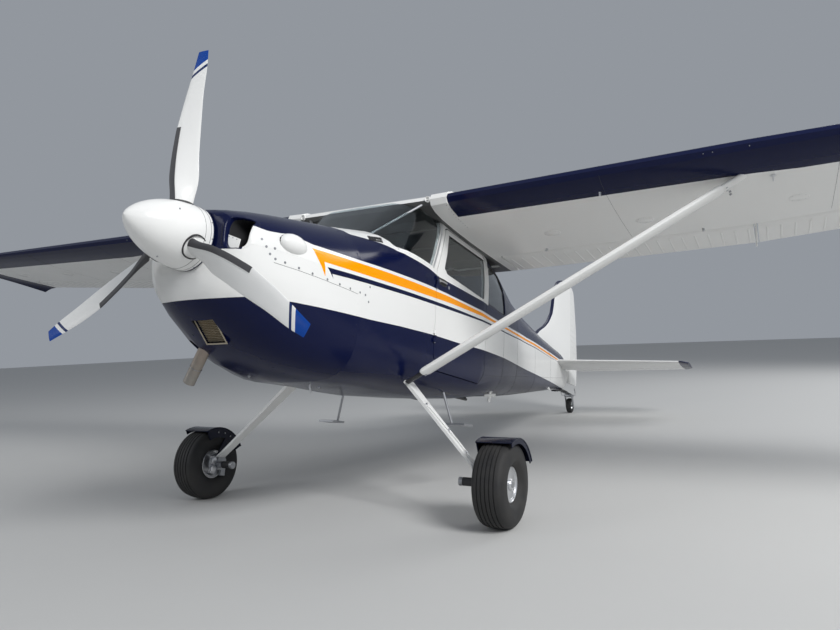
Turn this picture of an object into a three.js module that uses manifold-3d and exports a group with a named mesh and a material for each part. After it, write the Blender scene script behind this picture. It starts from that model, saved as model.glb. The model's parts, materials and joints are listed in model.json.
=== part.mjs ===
// A four-seat light aircraft with a high braced wing and a tail wheel, parked on its wheels.
// Lengths are in millimetres. In the aircraft's own axes +X runs forward, +Y to its left and +Z up,
// and zero is at the firewall on the propeller's axis. The finished group is turned nose up
// until all three wheels stand on the ground, with the origin under the middle of its box.
import * as THREE from 'three';
import { mergeVertices } from 'three/addons/utils/BufferGeometryUtils.js';
import Module from 'manifold-3d';

const wasm = await Module();
wasm.setup();

const DEG = Math.PI / 180;
const GAP = 0.3;            // between pieces that are fastened together
const CLEAR = 8;            // between pieces that move past each other
const SIDES = [['left', 1], ['right', -1]];

// Driving dimensions
const WALL = 32;            // cabin wall and door thickness
const COWL_WALL = 8;
const GLASS = 6;
const REBATE = 8;           // how far the glass lies in from the skin
const FUSE_HALF = 558;      // widest half width of the cabin
const BELLY = -618;

const PROP = { x: 933, blades: 3, phase: -1 * DEG };
const SPINNER = { tip: 1246, rear: 846, radius: 171, steps: 10 };

const WHEEL = { x: -612, y: 1165, z: -1158, radius: 250, width: 196, rim: 100, rimWidth: 150 };
const TAIL_WHEEL = { x: -6270, z: -213, radius: 102, width: 70, rim: 52, rimWidth: 62, bore: 10 };

const WING = {
  root: FUSE_HALF + GAP, break: 2540, tip: 5290, end: 5470,
  x: -700, z: 716, chord: 1627, tipChord: 1118, sweep: 69,
  incidence: 2.5 * DEG, dihedral: 1.7 * DEG, hinge: 0.74, droop: 62,
};
const CUFF = { end: 682, lip: 9, run: 0.25 };   // raised band round the leading edge at the wing's root
const FLAP = { inner: 640, outer: 2526 };
const AILERON = { inner: 2554, outer: 5180 };

const STRUT = { foot: [-628, 590, -508], head: [-985, 2484], chord: 118, thick: 50 };
const STRUT_ROWS = [   // from which end, distance along it, share of the full section
  ['foot', -100, 0.5], ['foot', 12, 0.5], ['foot', 20, 0.82], ['foot', 44, 1],
  ['head', -150, 1], ['head', -118, 0.9], ['head', -112, 0.76], ['head', 60, 0.76],
];

const STAB = {
  z: 275, half: 1650, hingeX: -5890, rootChord: 690, tipChord: 350, rootHalf: 36, tipHalf: 20,
  tipLength: 60, tipShare: 0.72,
};
const ELEVATOR = { rootChord: 430, tipChord: 320, hornChord: 150, inner: 62, full: 152, tube: 16 };
const FIN = { hingeX: -6120 };

// Height of the tyres' contact above the wheels' common slope gives the parked attitude
const ATTITUDE = (() => {
  const run = WHEEL.x - TAIL_WHEEL.x;
  const rise = TAIL_WHEEL.z - WHEEL.z;
  const step = WHEEL.radius - TAIL_WHEEL.radius;
  return Math.atan2(rise, run) + Math.asin(step / Math.hypot(run, rise));
})();

// Paint and metals
const paint = (color, roughness = 0.25, metalness = 0) =>
  new THREE.MeshStandardMaterial({ color, roughness, metalness });
const WHITE = paint(0xe9e9e4);
const NAVY = paint(0x141c44);
const BLACK = paint(0x17181a, 0.6);
const RUBBER = paint(0x1b1b1c, 0.85);
const STEEL = paint(0x8f9296, 0.4, 0.8);
const ALUMINIUM = paint(0xb9bcc0, 0.35, 0.9);
const GLAZING = new THREE.MeshStandardMaterial({
  color: 0x9fb4bd, roughness: 0.05, opacity: 0.35, transparent: true,
});
const FABRIC = paint(0x55524e, 0.9);
const BRASS = paint(0xa98b4a, 0.45, 0.7);
const SOOT = paint(0x6d655c, 0.55, 0.6);

const plane = new THREE.Group();

function add(name, geometry, material, position = [0, 0, 0]) {
  const mesh = new THREE.Mesh(geometry, material);
  mesh.name = name;
  mesh.position.set(...position);
  plane.add(mesh);
  return mesh;
}

// Solid helpers
function toSolid(geometry) {
  const plain = geometry.index ? geometry.toNonIndexed() : geometry.clone();
  plain.deleteAttribute('normal');
  plain.deleteAttribute('uv');
  const merged = mergeVertices(plain, 1e-3);
  return new wasm.Manifold(new wasm.Mesh({
    numProp: 3,
    vertProperties: new Float32Array(merged.attributes.position.array),
    triVerts: new Uint32Array(facingOut(merged).index.array),
  }));
}

function toGeometry(solid) {
  const mesh = solid.getMesh();
  const geometry = new THREE.BufferGeometry();
  geometry.setAttribute('position', new THREE.BufferAttribute(mesh.vertProperties, 3));
  geometry.setIndex(new THREE.BufferAttribute(mesh.triVerts, 1));
  return geometry;
}

const join = (a, b) => a.add(b);
const moved = (geometry, x, y, z) => geometry.translate(x, y, z);
const box = (low, high) => moved(
  new THREE.BoxGeometry(high[0] - low[0], high[1] - low[1], high[2] - low[2]),
  (low[0] + high[0]) / 2, (low[1] + high[1]) / 2, (low[2] + high[2]) / 2);

// The turn that brings an upright piece into line with a direction
const UP = new THREE.Vector3(0, 1, 0);
const turnedTo = (way) => new THREE.Quaternion().setFromUnitVectors(UP, way.normalize());

// Turns every triangle over where a closed geometry has its faces pointing in
function facingOut(geometry) {
  const position = geometry.attributes.position;
  const corner = [0, 1, 2].map(() => new THREE.Vector3());
  let sum = 0;
  for (let i = 0; i < geometry.index.count; i += 3) {
    corner.forEach((v, k) => v.fromBufferAttribute(position, geometry.index.getX(i + k)));
    sum += corner[0].dot(corner[1].cross(corner[2]));
  }
  if (sum < 0) geometry.setIndex([...geometry.index.array].reverse());
  return geometry;
}

// Joins closed rings of equal length, each a list of [x, y, z], and closes both ends with fans
function loft(rings) {
  const count = rings[0].length;
  const points = rings.flat();
  const index = [];
  for (let i = 0; i < rings.length - 1; i++) {
    for (let j = 0; j < count; j++) {
      const a = i * count + j;
      const b = i * count + (j + 1) % count;
      index.push(a, b, b + count, a, b + count, a + count);
    }
  }
  for (const [ring, flip] of [[0, false], [rings.length - 1, true]]) {
    const middle = rings[ring].reduce((s, p) => s.map((v, k) => v + p[k] / count), [0, 0, 0]);
    const centre = points.push(middle) - 1;
    for (let j = 0; j < count; j++) {
      const a = ring * count + j;
      const b = ring * count + (j + 1) % count;
      index.push(...(flip ? [centre, a, b] : [centre, b, a]));
    }
  }
  const geometry = new THREE.BufferGeometry();
  geometry.setAttribute('position', new THREE.Float32BufferAttribute(points.flat(), 3));
  geometry.setIndex(index);
  return facingOut(geometry);
}

// A prism across the aircraft: an outline of [x, z] points carried from y0 to y1
function prismY(outline, y0, y1) {
  const shape = new THREE.Shape(outline.map(([x, z]) => new THREE.Vector2(x, z)));
  const prism = new THREE.ExtrudeGeometry(shape, { depth: y1 - y0, bevelEnabled: false });
  return prism.rotateX(Math.PI / 2).translate(0, y1, 0);
}

function blendRows(rows, x) {
  const after = rows.findIndex((row) => row[0] <= x);
  if (after <= 0) return after === 0 ? rows[0] : rows[rows.length - 1];
  const [front, back] = [rows[after - 1], rows[after]];
  const t = (front[0] - x) / (front[0] - back[0]);
  return front.map((v, k) => v + t * (back[k] - v));
}

// Fuselage sections: x, half width, top, height of the widest point, bottom,
// and the squareness of the upper and lower halves (2 is an ellipse, 5 nearly a box)
const COWL_ROWS = [
  [838, 235, 152, -5, -222, 2.0, 2.0],
  [818, 300, 166, -10, -292, 2.1, 2.2],
  [760, 364, 186, -20, -356, 2.1, 2.4],
  [640, 415, 220, -30, -440, 2.1, 2.5],
  [500, 450, 254, -40, -525, 2.1, 2.6],
  [330, 480, 292, -50, -592, 2.1, 2.9],
  [130, 505, 332, -60, -625, 2.2, 3.4],
  [GAP, 515, 355, -60, -634, 2.3, 4.0],
];
const CABIN_ROWS = [
  [0, 515, 355, -60, -634, 2.3, 4.0],
  [-420, 540, 445, -60, BELLY, 3.0, 4.6],
  [-740, 552, 790, -60, BELLY, 4.6, 5.0],
  [-1000, FUSE_HALF, 835, -60, BELLY + 4, 5.2, 5.0],
  [-1700, FUSE_HALF, 835, -60, -565, 5.2, 5.0],
  [-2330, 505, 735, -20, -485, 3.8, 4.4],
  [-2900, 420, 610, 20, -425, 3.2, 4.2],
];
const TAIL_ROWS = [
  [-2900 - GAP, 420, 610, 20, -425, 3.2, 4.2],
  [-3350, 356, 560, 40, -370, 3.0, 4.2],
  [-4400, 235, 490, 90, -220, 2.6, 4.0],
  [-5300, 125, 455, 130, -92, 2.4, 3.6],
  [-5840, 52, 440, 150, -34, 2.2, 3.0],
  [-6066, 26, 436, 250, 70, 2.2, 2.6],
];
const RING = 32;

function bodyRing([x, half, top, mid, bottom, upper, lower], inset = 0) {
  const ring = [];
  for (let j = 0; j < RING; j++) {
    const a = (j / RING) * 2 * Math.PI;
    const power = 2 / (Math.sin(a) >= 0 ? upper : lower);
    const reach = Math.sin(a) >= 0 ? top - mid - inset : mid - bottom - inset;
    const y = Math.sign(Math.cos(a)) * Math.abs(Math.cos(a)) ** power * (half - inset);
    const z = mid + Math.sign(Math.sin(a)) * Math.abs(Math.sin(a)) ** power * reach;
    ring.push([x, y, z]);
  }
  return ring;
}

function body(rows, inset = 0, front = 0, back = 0) {
  const first = rows[0][0] - front;
  const last = rows[rows.length - 1][0] + back;
  const kept = rows.filter((row) => row[0] < first && row[0] > last);
  const ends = [first, last].map((x) => [x, ...blendRows(rows, x).slice(1)]);
  return loft([ends[0], ...kept, ends[1]].map((row) => bodyRing(row, inset)));
}

// Wing section of the 2412 family at a few chord fractions
const STATIONS = [0.0, 0.0125, 0.05, 0.12, 0.25, 0.42, 0.6, 0.8, 1.0];

function thickness(f, t) {
  return 5 * t * (0.2969 * Math.sqrt(f) - 0.126 * f - 0.3516 * f ** 2 + 0.2843 * f ** 3 - 0.1036 * f ** 4);
}

function camber(f) {
  return f < 0.4 ? 0.125 * (0.8 * f - f * f) : (0.02 / 0.36) * (0.2 + 0.8 * f - f * f);
}

function wingStation(y) {
  const over = Math.max(0, y - WING.break) / (WING.tip - WING.break);
  const past = Math.max(0, y - WING.tip) / (WING.end - WING.tip);
  const chord = WING.chord + over * (WING.tipChord - WING.chord);
  return {
    x: WING.x - over * WING.sweep,
    z: WING.z + (y - FUSE_HALF) * Math.tan(WING.dihedral) - past * past * WING.droop,
    chord,
    thick: 0.12 * (1 - 0.72 * past * past),
  };
}

function wingPoint(y, f, side) {
  const s = wingStation(y);
  const up = s.chord * (camber(f) + side * thickness(f, s.thick));
  const back = s.chord * f;
  return [
    s.x - back * Math.cos(WING.incidence) + up * Math.sin(WING.incidence),
    y,
    s.z - back * Math.sin(WING.incidence) + up * Math.cos(WING.incidence),
  ];
}

function wingRing(y) {
  const upper = STATIONS.map((f) => wingPoint(y, f, 1));
  const lower = STATIONS.slice(1, -1).reverse().map((f) => wingPoint(y, f, -1));
  return [...upper, ...lower];
}

function cuffRing(y) {
  const fractions = STATIONS.filter((f) => f <= CUFF.run);
  const point = (f, side) => {
    const [x, , z] = wingPoint(y, f, side);
    const lip = CUFF.lip * (1 - f / CUFF.run) + 0.5;
    return [x + lip * (1 - 2 * f / CUFF.run), y, z + (f === 0 ? 0 : side * lip)];
  };
  return [...fractions.map((f) => point(f, 1)), ...fractions.slice(1).reverse().map((f) => point(f, -1))];
}

// The part of the wing section behind the hinge, with a half round nose about the hinge
const AFT = [0.0, 0.35, 0.7, 1.0];
const NOSE_STEPS = 4;

function hingePoint(y) {
  const top = wingPoint(y, WING.hinge, 1);
  const low = wingPoint(y, WING.hinge, -1);
  return { x: (top[0] + low[0]) / 2, z: (top[2] + low[2]) / 2, half: (top[2] - low[2]) / 2 };
}

function surfaceRing(y) {
  const at = (k) => WING.hinge + k * (1 - WING.hinge);
  const upper = AFT.map((k) => wingPoint(y, at(k), 1));
  const lower = AFT.slice(0, -1).reverse().map((k) => wingPoint(y, at(k), -1));
  const h = hingePoint(y);
  const nose = [];
  for (let j = 1; j < NOSE_STEPS; j++) {
    const a = -Math.PI / 2 + (j / NOSE_STEPS) * Math.PI;
    nose.push([h.x + h.half * Math.cos(a), y, h.z + h.half * Math.sin(a)]);
  }
  return [...upper, ...lower, ...nose];
}

// Everything behind the hinge line between two span stations, widened to let the surface move
const BAY = { tall: 200, deep: 900 };

function bayCutter(y0, y1) {
  const ring = (y) => {
    const h = hingePoint(y);
    const front = h.x + h.half + CLEAR;
    const [low, high] = [h.z - BAY.tall, h.z + BAY.tall];
    const back = front - BAY.deep;
    return [[front, y, low], [front, y, high], [back, y, high], [back, y, low]];
  };
  return loft([ring(y0 - CLEAR), ring(y1 + CLEAR)]);
}

// Hinge brackets stand on the fixed side and end in a hollow round the moving nose
function roundRod(ends, sides = 32) {
  return toSolid(loft(ends.map(({ at, radius }) => Array.from({ length: sides }, (_, j) => {
    const a = (j / sides) * 2 * Math.PI;
    return at(radius * Math.cos(a), radius * Math.sin(a));
  }))));
}

const BRACKET = { width: 26, seat: 0.6, share: 0.55, root: 16, along: [0.12, 0.5, 0.88] };

function wingBrackets(y0, y1) {
  const end = (y, grow) => {
    const h = hingePoint(y);
    return { at: (u, v) => [h.x + u, y, h.z + v], radius: h.half + grow };
  };
  const hollow = roundRod([end(y0, BRACKET.seat), end(y1, BRACKET.seat)]);
  return BRACKET.along.map((share) => {
    const y = y0 + share * (y1 - y0);
    const h = hingePoint(y);
    const tall = h.half * BRACKET.share;
    const block = box([h.x, y - BRACKET.width / 2, h.z - tall],
      [h.x + h.half + BRACKET.root, y + BRACKET.width / 2, h.z + tall]);
    return toSolid(block).subtract(hollow);
  }).reduce(join);
}

const mirror = (geometry) => {
  const copy = geometry.clone();
  const position = copy.attributes.position;
  for (let i = 0; i < position.count; i++) position.setY(i, -position.getY(i));
  copy.setIndex([...copy.index.array].reverse());
  return copy;
};
const sided = (geometry, sign) => (sign > 0 ? geometry : mirror(geometry));

// Wings, flaps and ailerons
const WING_SPANS = [WING.root, WING.break, WING.tip, WING.tip + 95, WING.tip + 150, WING.end];

function makeWings() {
  const whole = toSolid(loft(WING_SPANS.map(wingRing)));
  const wing = toGeometry(whole
    .subtract(toSolid(bayCutter(FLAP.inner, FLAP.outer)))
    .subtract(toSolid(bayCutter(AILERON.inner, AILERON.outer)))
    .add(toSolid(loft([WING.root, CUFF.end].map(cuffRing))))
    .add(wingBrackets(FLAP.inner, FLAP.outer))
    .add(wingBrackets(AILERON.inner, AILERON.outer)));
  const flap = loft([FLAP.inner, FLAP.outer].map(surfaceRing));
  const aileron = loft([AILERON.inner, AILERON.outer].map(surfaceRing));
  for (const [side, sign] of SIDES) {
    add(`wing_${side}`, sided(wing, sign), WHITE);
    add(`flap_${side}`, sided(flap, sign), WHITE);
    add(`aileron_${side}`, sided(aileron, sign), WHITE);
  }
}

// The roof between the wings has the wing's own section, hollowed from below to an even skin
const ROOF = { fractions: [0.12, 0.25, 0.42, 0.6, 0.8, 0.9], low: 400, skin: 26, side: 40 };
const roofRing = (y) => wingRing(WING.root).map(([x, , z]) => [x, y, z]);

function roofHollow(y) {
  const skin = ROOF.fractions.map((f) => wingPoint(WING.root, f, 1));
  const ceiling = skin.map(([x, , z]) => [x, y, z - ROOF.skin]);
  const corner = (k) => [ceiling[k][0], y, ROOF.low];
  return [...ceiling, corner(ceiling.length - 1), corner(0)];
}

// Cabin
// Outlines on the cabin's side, as [x, z]
const DOOR = [
  [-872, -340], [-872, 250], [-1015, 600], [-1050, 618], [-1740, 618], [-1790, 570], [-1790, -350],
  [-1710, -440], [-960, -440],
];
const DOOR_WINDOW = [[-985, 300], [-1065, 575], [-1740, 575], [-1735, 255], [-1700, 240], [-1030, 268]];
const REAR_WINDOW = [[-1850, 240], [-1850, 585], [-2230, 585], [-2340, 470], [-2340, 260], [-2320, 240]];
const SCREEN = [
  [-430, 300], [-560, 285], [-800, 268], [-950, 600], [-950, 650], [-760, 950], [-300, 950], [-300, 470],
];

function grown(outline, by) {
  const cx = outline.reduce((s, p) => s + p[0], 0) / outline.length;
  const cz = outline.reduce((s, p) => s + p[1], 0) / outline.length;
  return outline.map(([x, z]) => [x + Math.sign(x - cx) * by, z + Math.sign(z - cz) * by]);
}

const DOOR_GAP = 6;
const DOOR_HINGE = {
  x: -869, y: 559, radius: 7, heights: [-230, 150], knuckle: 34, lug: 26, reach: 22, sunk: 16, proud: 3,
};

// One hinge: the middle knuckle belongs to the door, the two outer ones to the cabin
function doorHinge(z, onDoor) {
  const h = DOOR_HINGE;
  const top = z + h.knuckle;
  const spans = onDoor ? [[z, top]] : [[z - h.lug, z - GAP], [top + GAP, top + h.lug]];
  return spans.map(([z0, z1]) => {
    const round = new THREE.CylinderGeometry(h.radius, h.radius, z1 - z0, 16).rotateX(Math.PI / 2);
    const leaf = onDoor ? [h.x - h.reach, h.x] : [h.x, h.x + h.reach];
    return toSolid(moved(round, h.x, h.y, (z0 + z1) / 2))
      .add(toSolid(box([leaf[0], h.y - h.sunk, z0], [leaf[1], h.y + h.proud, z1])));
  }).reduce(join);
}

// Room for the knuckles, cut from the door and the cabin alike
function hingeRoom(sign) {
  const h = DOOR_HINGE;
  const tall = h.knuckle + 2 * h.lug + 2;
  const wide = h.radius + 2 * GAP;
  return h.heights.map((z) => {
    const round = new THREE.CylinderGeometry(wide, wide, tall, 16).rotateX(Math.PI / 2);
    return toSolid(moved(round, h.x, sign * h.y, z + h.knuckle / 2));
  }).reduce(join);
}

function makeCabin() {
  const outer = toSolid(body(CABIN_ROWS));
  const inner = toSolid(body(CABIN_ROWS, WALL, WALL, WALL));
  const deep = REBATE + GLASS;
  const glassOut = toSolid(body(CABIN_ROWS, REBATE, REBATE, REBATE));
  const glassIn = toSolid(body(CABIN_ROWS, deep, deep, deep));
  const far = 900;
  const above = 1200;
  const middle = 300;
  const low = STATIONS.map((f) => wingPoint(WING.root, f, -1));
  const roofCut = toSolid(loft([-far, far].map((y) => [
    [low[0][0] + GAP, y, above],
    ...low.map(([x, , z], k) => [k === 0 ? x + GAP : x, y, z - GAP]),
    [low[low.length - 1][0] - 1, y, above],
  ])));
  let shell = outer.subtract(inner).subtract(roofCut);
  const screen = toSolid(prismY(SCREEN, -far, far));
  const glass = glassOut.subtract(glassIn).subtract(roofCut);
  add('windshield', toGeometry(glass.intersect(screen)), GLAZING);
  shell = shell.subtract(toSolid(prismY(grown(SCREEN, GAP), -far, far)));
  for (const [side, sign] of SIDES) {
    const [y0, y1] = sign > 0 ? [middle, far] : [-far, -middle];
    const doorHole = toSolid(prismY(grown(DOOR, DOOR_GAP), y0, y1));
    const door = toSolid(prismY(DOOR, y0, y1));
    const doorWindow = toSolid(prismY(DOOR_WINDOW, y0, y1));
    const rearWindow = toSolid(prismY(REAR_WINDOW, y0, y1));
    const panel = outer.subtract(inner).subtract(roofCut).intersect(door)
      .subtract(toSolid(prismY(grown(DOOR_WINDOW, GAP), y0, y1)));
    const hinges = (onDoor) => DOOR_HINGE.heights
      .map((z) => toSolid(sided(toGeometry(doorHinge(z, onDoor)), sign))).reduce(join);
    add(`door_${side}`, toGeometry(panel.subtract(hingeRoom(sign)).add(hinges(true))), WHITE);
    add(`door_glass_${side}`, toGeometry(glass.intersect(doorWindow)), GLAZING);
    add(`rear_glass_${side}`, toGeometry(glass.intersect(rearWindow)), GLAZING);
    shell = shell.subtract(doorHole).subtract(toSolid(prismY(grown(REAR_WINDOW, GAP), y0, y1)));
    shell = shell.subtract(hingeRoom(sign)).add(hinges(false));
  }
  add('cabin_shell', toGeometry(shell), WHITE);
  const rib = FUSE_HALF - ROOF.side;
  const hollow = toSolid(loft([-rib, rib].map(roofHollow)));
  const roof = toSolid(loft([-FUSE_HALF, FUSE_HALF].map(roofRing)));
  add('cabin_roof', toGeometry(roof.subtract(hollow)), WHITE);
}

// Nose
const ENGINE = { low: [60, -330, -230], high: [620, 330, 90] };
const MOUNT = { half: 170, high: 70 };
const COWL_SPLIT = -40;
const SHAFT = { radius: 55, hole: 70, reach: 10 };
const INLET = { y: 282, z: 18, half: 66, tall: 84, power: 2 / 3.2, front: 900, back: 640 };
const BLISTER = { at: [533, 418, 20], size: [104, 50, 58] };
const INTAKE = { x: 632, z: -440, width: 150, height: 165, depth: 70, slope: 45 };
const EXHAUST = { top: [500, -215, -400], foot: [418, -330, -690], radius: 46 };

function intake(grow) {
  const i = INTAKE;
  const size = [i.depth, i.width, i.height].map((v) => v + 2 * grow);
  const block = new THREE.BoxGeometry(...size);
  block.rotateY(i.slope * DEG);
  return toSolid(moved(block, i.x, 0, i.z));
}

function exhaust(grow) {
  const top = new THREE.Vector3(...EXHAUST.top);
  const foot = new THREE.Vector3(...EXHAUST.foot);
  const radius = EXHAUST.radius + grow;
  const pipe = new THREE.CylinderGeometry(radius, radius, top.distanceTo(foot), 20);
  pipe.applyQuaternion(turnedTo(top.clone().sub(foot)));
  return toSolid(moved(pipe, ...top.clone().add(foot).multiplyScalar(0.5).toArray()));
}

function inletRing(x, sign) {
  const i = INLET;
  const bend = (c) => Math.sign(c) * Math.abs(c) ** i.power;
  return Array.from({ length: 24 }, (_, j) => {
    const a = (j / 24) * 2 * Math.PI;
    return [x, sign * (i.y + i.half * bend(Math.cos(a))), i.z + i.tall * bend(Math.sin(a))];
  });
}

function makeCowl() {
  const outer = toSolid(body(COWL_ROWS));
  const inner = toSolid(body(COWL_ROWS, COWL_WALL, COWL_WALL, -20));
  let cowl = outer.subtract(inner);
  for (const [, sign] of SIDES) {
    const blister = new THREE.SphereGeometry(1, 20, 12).scale(...BLISTER.size);
    const [x, y, z] = BLISTER.at;
    cowl = cowl.add(toSolid(moved(blister, x, sign * y, z)).subtract(inner));
    cowl = cowl.subtract(toSolid(loft([INLET.front, INLET.back].map((at) => inletRing(at, sign)))));
  }
  const shaft = new THREE.CylinderGeometry(SHAFT.hole, SHAFT.hole, 200, 20).rotateZ(Math.PI / 2);
  cowl = cowl.subtract(toSolid(moved(shaft, COWL_ROWS[0][0], 0, 0)));
  cowl = cowl.subtract(intake(GAP)).subtract(exhaust(GAP));
  const far = 1200;
  const upper = toSolid(box([-far, -far, COWL_SPLIT + GAP], [far, far, far]));
  const lower = toSolid(box([-far, -far, -far], [far, far, COWL_SPLIT]));
  add('cowl_upper', toGeometry(cowl.intersect(upper)), WHITE);
  add('cowl_lower', toGeometry(cowl.intersect(lower)), NAVY);
  const { half, high } = MOUNT;
  const mount = toSolid(box([GAP, -half, -half], [ENGINE.low[0] + 1, half, high]));
  add('engine', toGeometry(toSolid(box(ENGINE.low, ENGINE.high)).add(mount)), STEEL);
  add('air_filter', toGeometry(intake(0)), BRASS);
  add('exhaust_pipe', toGeometry(exhaust(0)), SOOT);
}

// Propeller
const BLADE_ROWS = [   // radius, chord, thickness, pitch in degrees, forward set of the chord's middle
  [110, 84, 64, 62, 0], [200, 106, 44, 50, -2], [300, 150, 30, 32, 2], [420, 145, 24, 22, 13],
  [580, 143, 18, 13, 18], [760, 114, 13, 7, 13], [920, 89, 9, 4, -2], [1016, 66, 6, 3, -6],
];

function makeBlade() {
  return loft(BLADE_ROWS.map(([r, chord, thick, pitch, lead]) => Array.from({ length: 12 }, (_, j) => {
    const a = (j / 12) * 2 * Math.PI;
    const p = pitch * DEG;
    const u = lead + (chord / 2) * Math.cos(a);
    const v = (thick / 2) * Math.sin(a);
    return [PROP.x + u * Math.sin(p) + v * Math.cos(p), -u * Math.cos(p) + v * Math.sin(p), r];
  })));
}

function makePropeller() {
  const { tip, rear, radius, steps } = SPINNER;
  const profile = Array.from({ length: steps }, (_, i) => {
    const t = i / steps;
    return new THREE.Vector2(radius * (1 - t ** 2.2) ** 0.7, rear + t * (tip - rear));
  });
  profile.unshift(new THREE.Vector2(0, rear));
  profile.push(new THREE.Vector2(0, tip));
  const spinner = new THREE.LatheGeometry(profile, 32).rotateZ(-Math.PI / 2);
  const shaftEnd = rear + SHAFT.reach;
  const shaftLength = shaftEnd - ENGINE.high[0] - GAP;
  const shaft = new THREE.CylinderGeometry(SHAFT.radius, SHAFT.radius, shaftLength, 20).rotateZ(Math.PI / 2);
  let propeller = toSolid(spinner).add(toSolid(moved(shaft, shaftEnd - shaftLength / 2, 0, 0)));
  for (let k = 0; k < PROP.blades; k++) {
    propeller = propeller.add(toSolid(makeBlade().rotateX(PROP.phase + k * 2 * Math.PI / PROP.blades)));
  }
  add('propeller', toGeometry(propeller), WHITE);
}

// Main gear: flat spring legs, axle blocks with brake discs, wheels and small fenders
const LEG_ROWS = [   // x, y, z, width along the aircraft, thickness
  [-690, 470, -550, 112, 20],
  [-668, 640, -718, 92, 19],
  [WHEEL.x, 1046, WHEEL.z + 42, 68, 17],
];
// Distances from the wheel's middle: the flange at the leg's foot, and what stands on the axle
const HUB_BLOCK = { y0: -150, y1: -105.5, z0: -36, z1: 52, half: 36, room: 60 };
const AXLE = { radius: 19, out: 75, bore: 20 };
const STUB = { radius: 23, cap: 26, capLength: 18, y0: -262, y1: -148 };
const CALIPER = { low: [-62, -132, -80], high: [-20, -112, 40] };
const DISC = { radius: 66, thick: 9, y: -96, hub: 34, hubLength: 90, hubY: -55 };
// Fender: angles from straight ahead, and the depth of the lips that turn down at both sides
const FENDER = {
  gap: 14, thick: 5, from: 60, to: 148, width: 220, lip: 34, skirt: 74, arm: 112, armHalf: 24,
};

function legSolid(grow) {
  const [top, , end] = LEG_ROWS;
  const along = new THREE.Vector3(0, end[1] - top[1], end[2] - top[2]).normalize();
  return toSolid(loft(LEG_ROWS.map(([x, y, z, width, thick]) =>
    [[1, 1], [1, -1], [-1, -1], [-1, 1]].map(([a, b]) => {
      const out = b * (thick / 2 + grow);
      return [x + a * (width / 2 + grow), y - along.z * out, z + along.y * out];
    }))));
}

function makeLeg() {
  const h = HUB_BLOCK;
  const seat = box([WHEEL.x - h.room, WHEEL.y + h.y0 - GAP, WHEEL.z + h.z0 - h.room],
    [WHEEL.x + h.room, WHEEL.y, WHEEL.z + h.z1 + GAP]);
  return toGeometry(legSolid(0).subtract(toSolid(body(CABIN_ROWS, -GAP))).subtract(toSolid(seat)));
}

// A curved sheet over the tyre with its sides turned down, on a plate that stands on the leg's flange
function makeFender() {
  const { gap, thick, from, to, width, lip, skirt, arm, armHalf } = FENDER;
  const inner = WHEEL.radius + gap;
  const outer = inner + thick;
  const steps = 12;
  const arc = (r, a0, a1) => Array.from({ length: steps + 1 }, (_, i) => {
    const a = (a0 + (a1 - a0) * i / steps) * DEG;
    return [r * Math.cos(a), r * Math.sin(a)];
  });
  const sheet = (low, a0, a1, y0, y1) =>
    toSolid(prismY([...arc(low, a0, a1), ...arc(outer, a1, a0)], y0, y1));
  const side = width / 2;
  const foot = HUB_BLOCK.z1 + GAP;
  const [x, z] = [(outer - skirt) * Math.cos(arm * DEG), (outer - skirt) * Math.sin(arm * DEG) + thick];
  const outline = [[armHalf, foot], [x + armHalf, z], [x - armHalf, z], [-armHalf, foot]];
  const plate = prismY(outline, -side, thick - side);
  return toGeometry(sheet(inner, from, to, -side, side)
    .add(sheet(outer - lip, from, to, side - thick, side))
    .add(sheet(outer - skirt, from, to, -side, thick - side))
    .add(toSolid(plate)));
}

function makeGear() {
  const leg = makeLeg();
  const fender = makeFender();
  const tyre = facingOut(new THREE.LatheGeometry(tyreProfile(WHEEL.radius, WHEEL.width, WHEEL.rim), 36));
  const rim = new THREE.LatheGeometry(rimProfile(WHEEL.rim, WHEEL.rimWidth, AXLE.bore), 36);
  const h = HUB_BLOCK;
  const round = (radius, y0, y1, sides = 20) =>
    toSolid(moved(new THREE.CylinderGeometry(radius, radius, y1 - y0, sides), 0, (y0 + y1) / 2, 0));
  const carrier = round(AXLE.radius, h.y0 + 1, AXLE.out, 16)
    .add(round(STUB.radius, STUB.y0, STUB.y1)).add(round(STUB.cap, STUB.y0, STUB.y0 + STUB.capLength))
    .add(toSolid(box([-h.half, h.y0, h.z0], [h.half, h.y1, h.z1])))
    .add(toSolid(box(CALIPER.low, CALIPER.high)));
  const halfHub = DISC.hubLength / 2;
  const wheelDisc = round(DISC.radius, DISC.y - DISC.thick / 2, DISC.y + DISC.thick / 2, 24)
    .add(round(DISC.hub, DISC.hubY - halfHub, DISC.hubY + halfHub))
    .subtract(round(AXLE.bore, -WHEEL.width, WHEEL.width));
  const strut = strutGeometry();
  for (const [side, sign] of SIDES) {
    const place = [WHEEL.x, sign * WHEEL.y, WHEEL.z];
    add(`gear_leg_${side}`, sided(leg, sign), WHITE);
    add(`axle_${side}`, sided(toGeometry(carrier), sign), STEEL, place);
    add(`fender_${side}`, sided(fender, sign), NAVY, place);
    add(`tyre_${side}`, tyre.clone(), RUBBER, place);
    add(`rim_${side}`, sided(toGeometry(toSolid(rim).add(wheelDisc)), sign), ALUMINIUM, place);
    add(`strut_${side}`, sided(strut, sign), WHITE);
  }
}

// Lathe profiles turn about the wheel's own Y axis: each point is radius, then distance along the axle
function tyreProfile(radius, width, inner) {
  const w = width / 2;
  const bulge = [
    [inner, -w * 0.62], [inner + (radius - inner) * 0.45, -w], [radius * 0.86, -w * 0.95],
    [radius * 0.965, -w * 0.72], [radius, -w * 0.36], [radius, w * 0.36], [radius * 0.965, w * 0.72],
    [radius * 0.86, w * 0.95], [inner + (radius - inner) * 0.45, w], [inner, w * 0.62], [inner, -w * 0.62],
  ];
  return bulge.map(([r, y]) => new THREE.Vector2(r, y));
}

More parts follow.
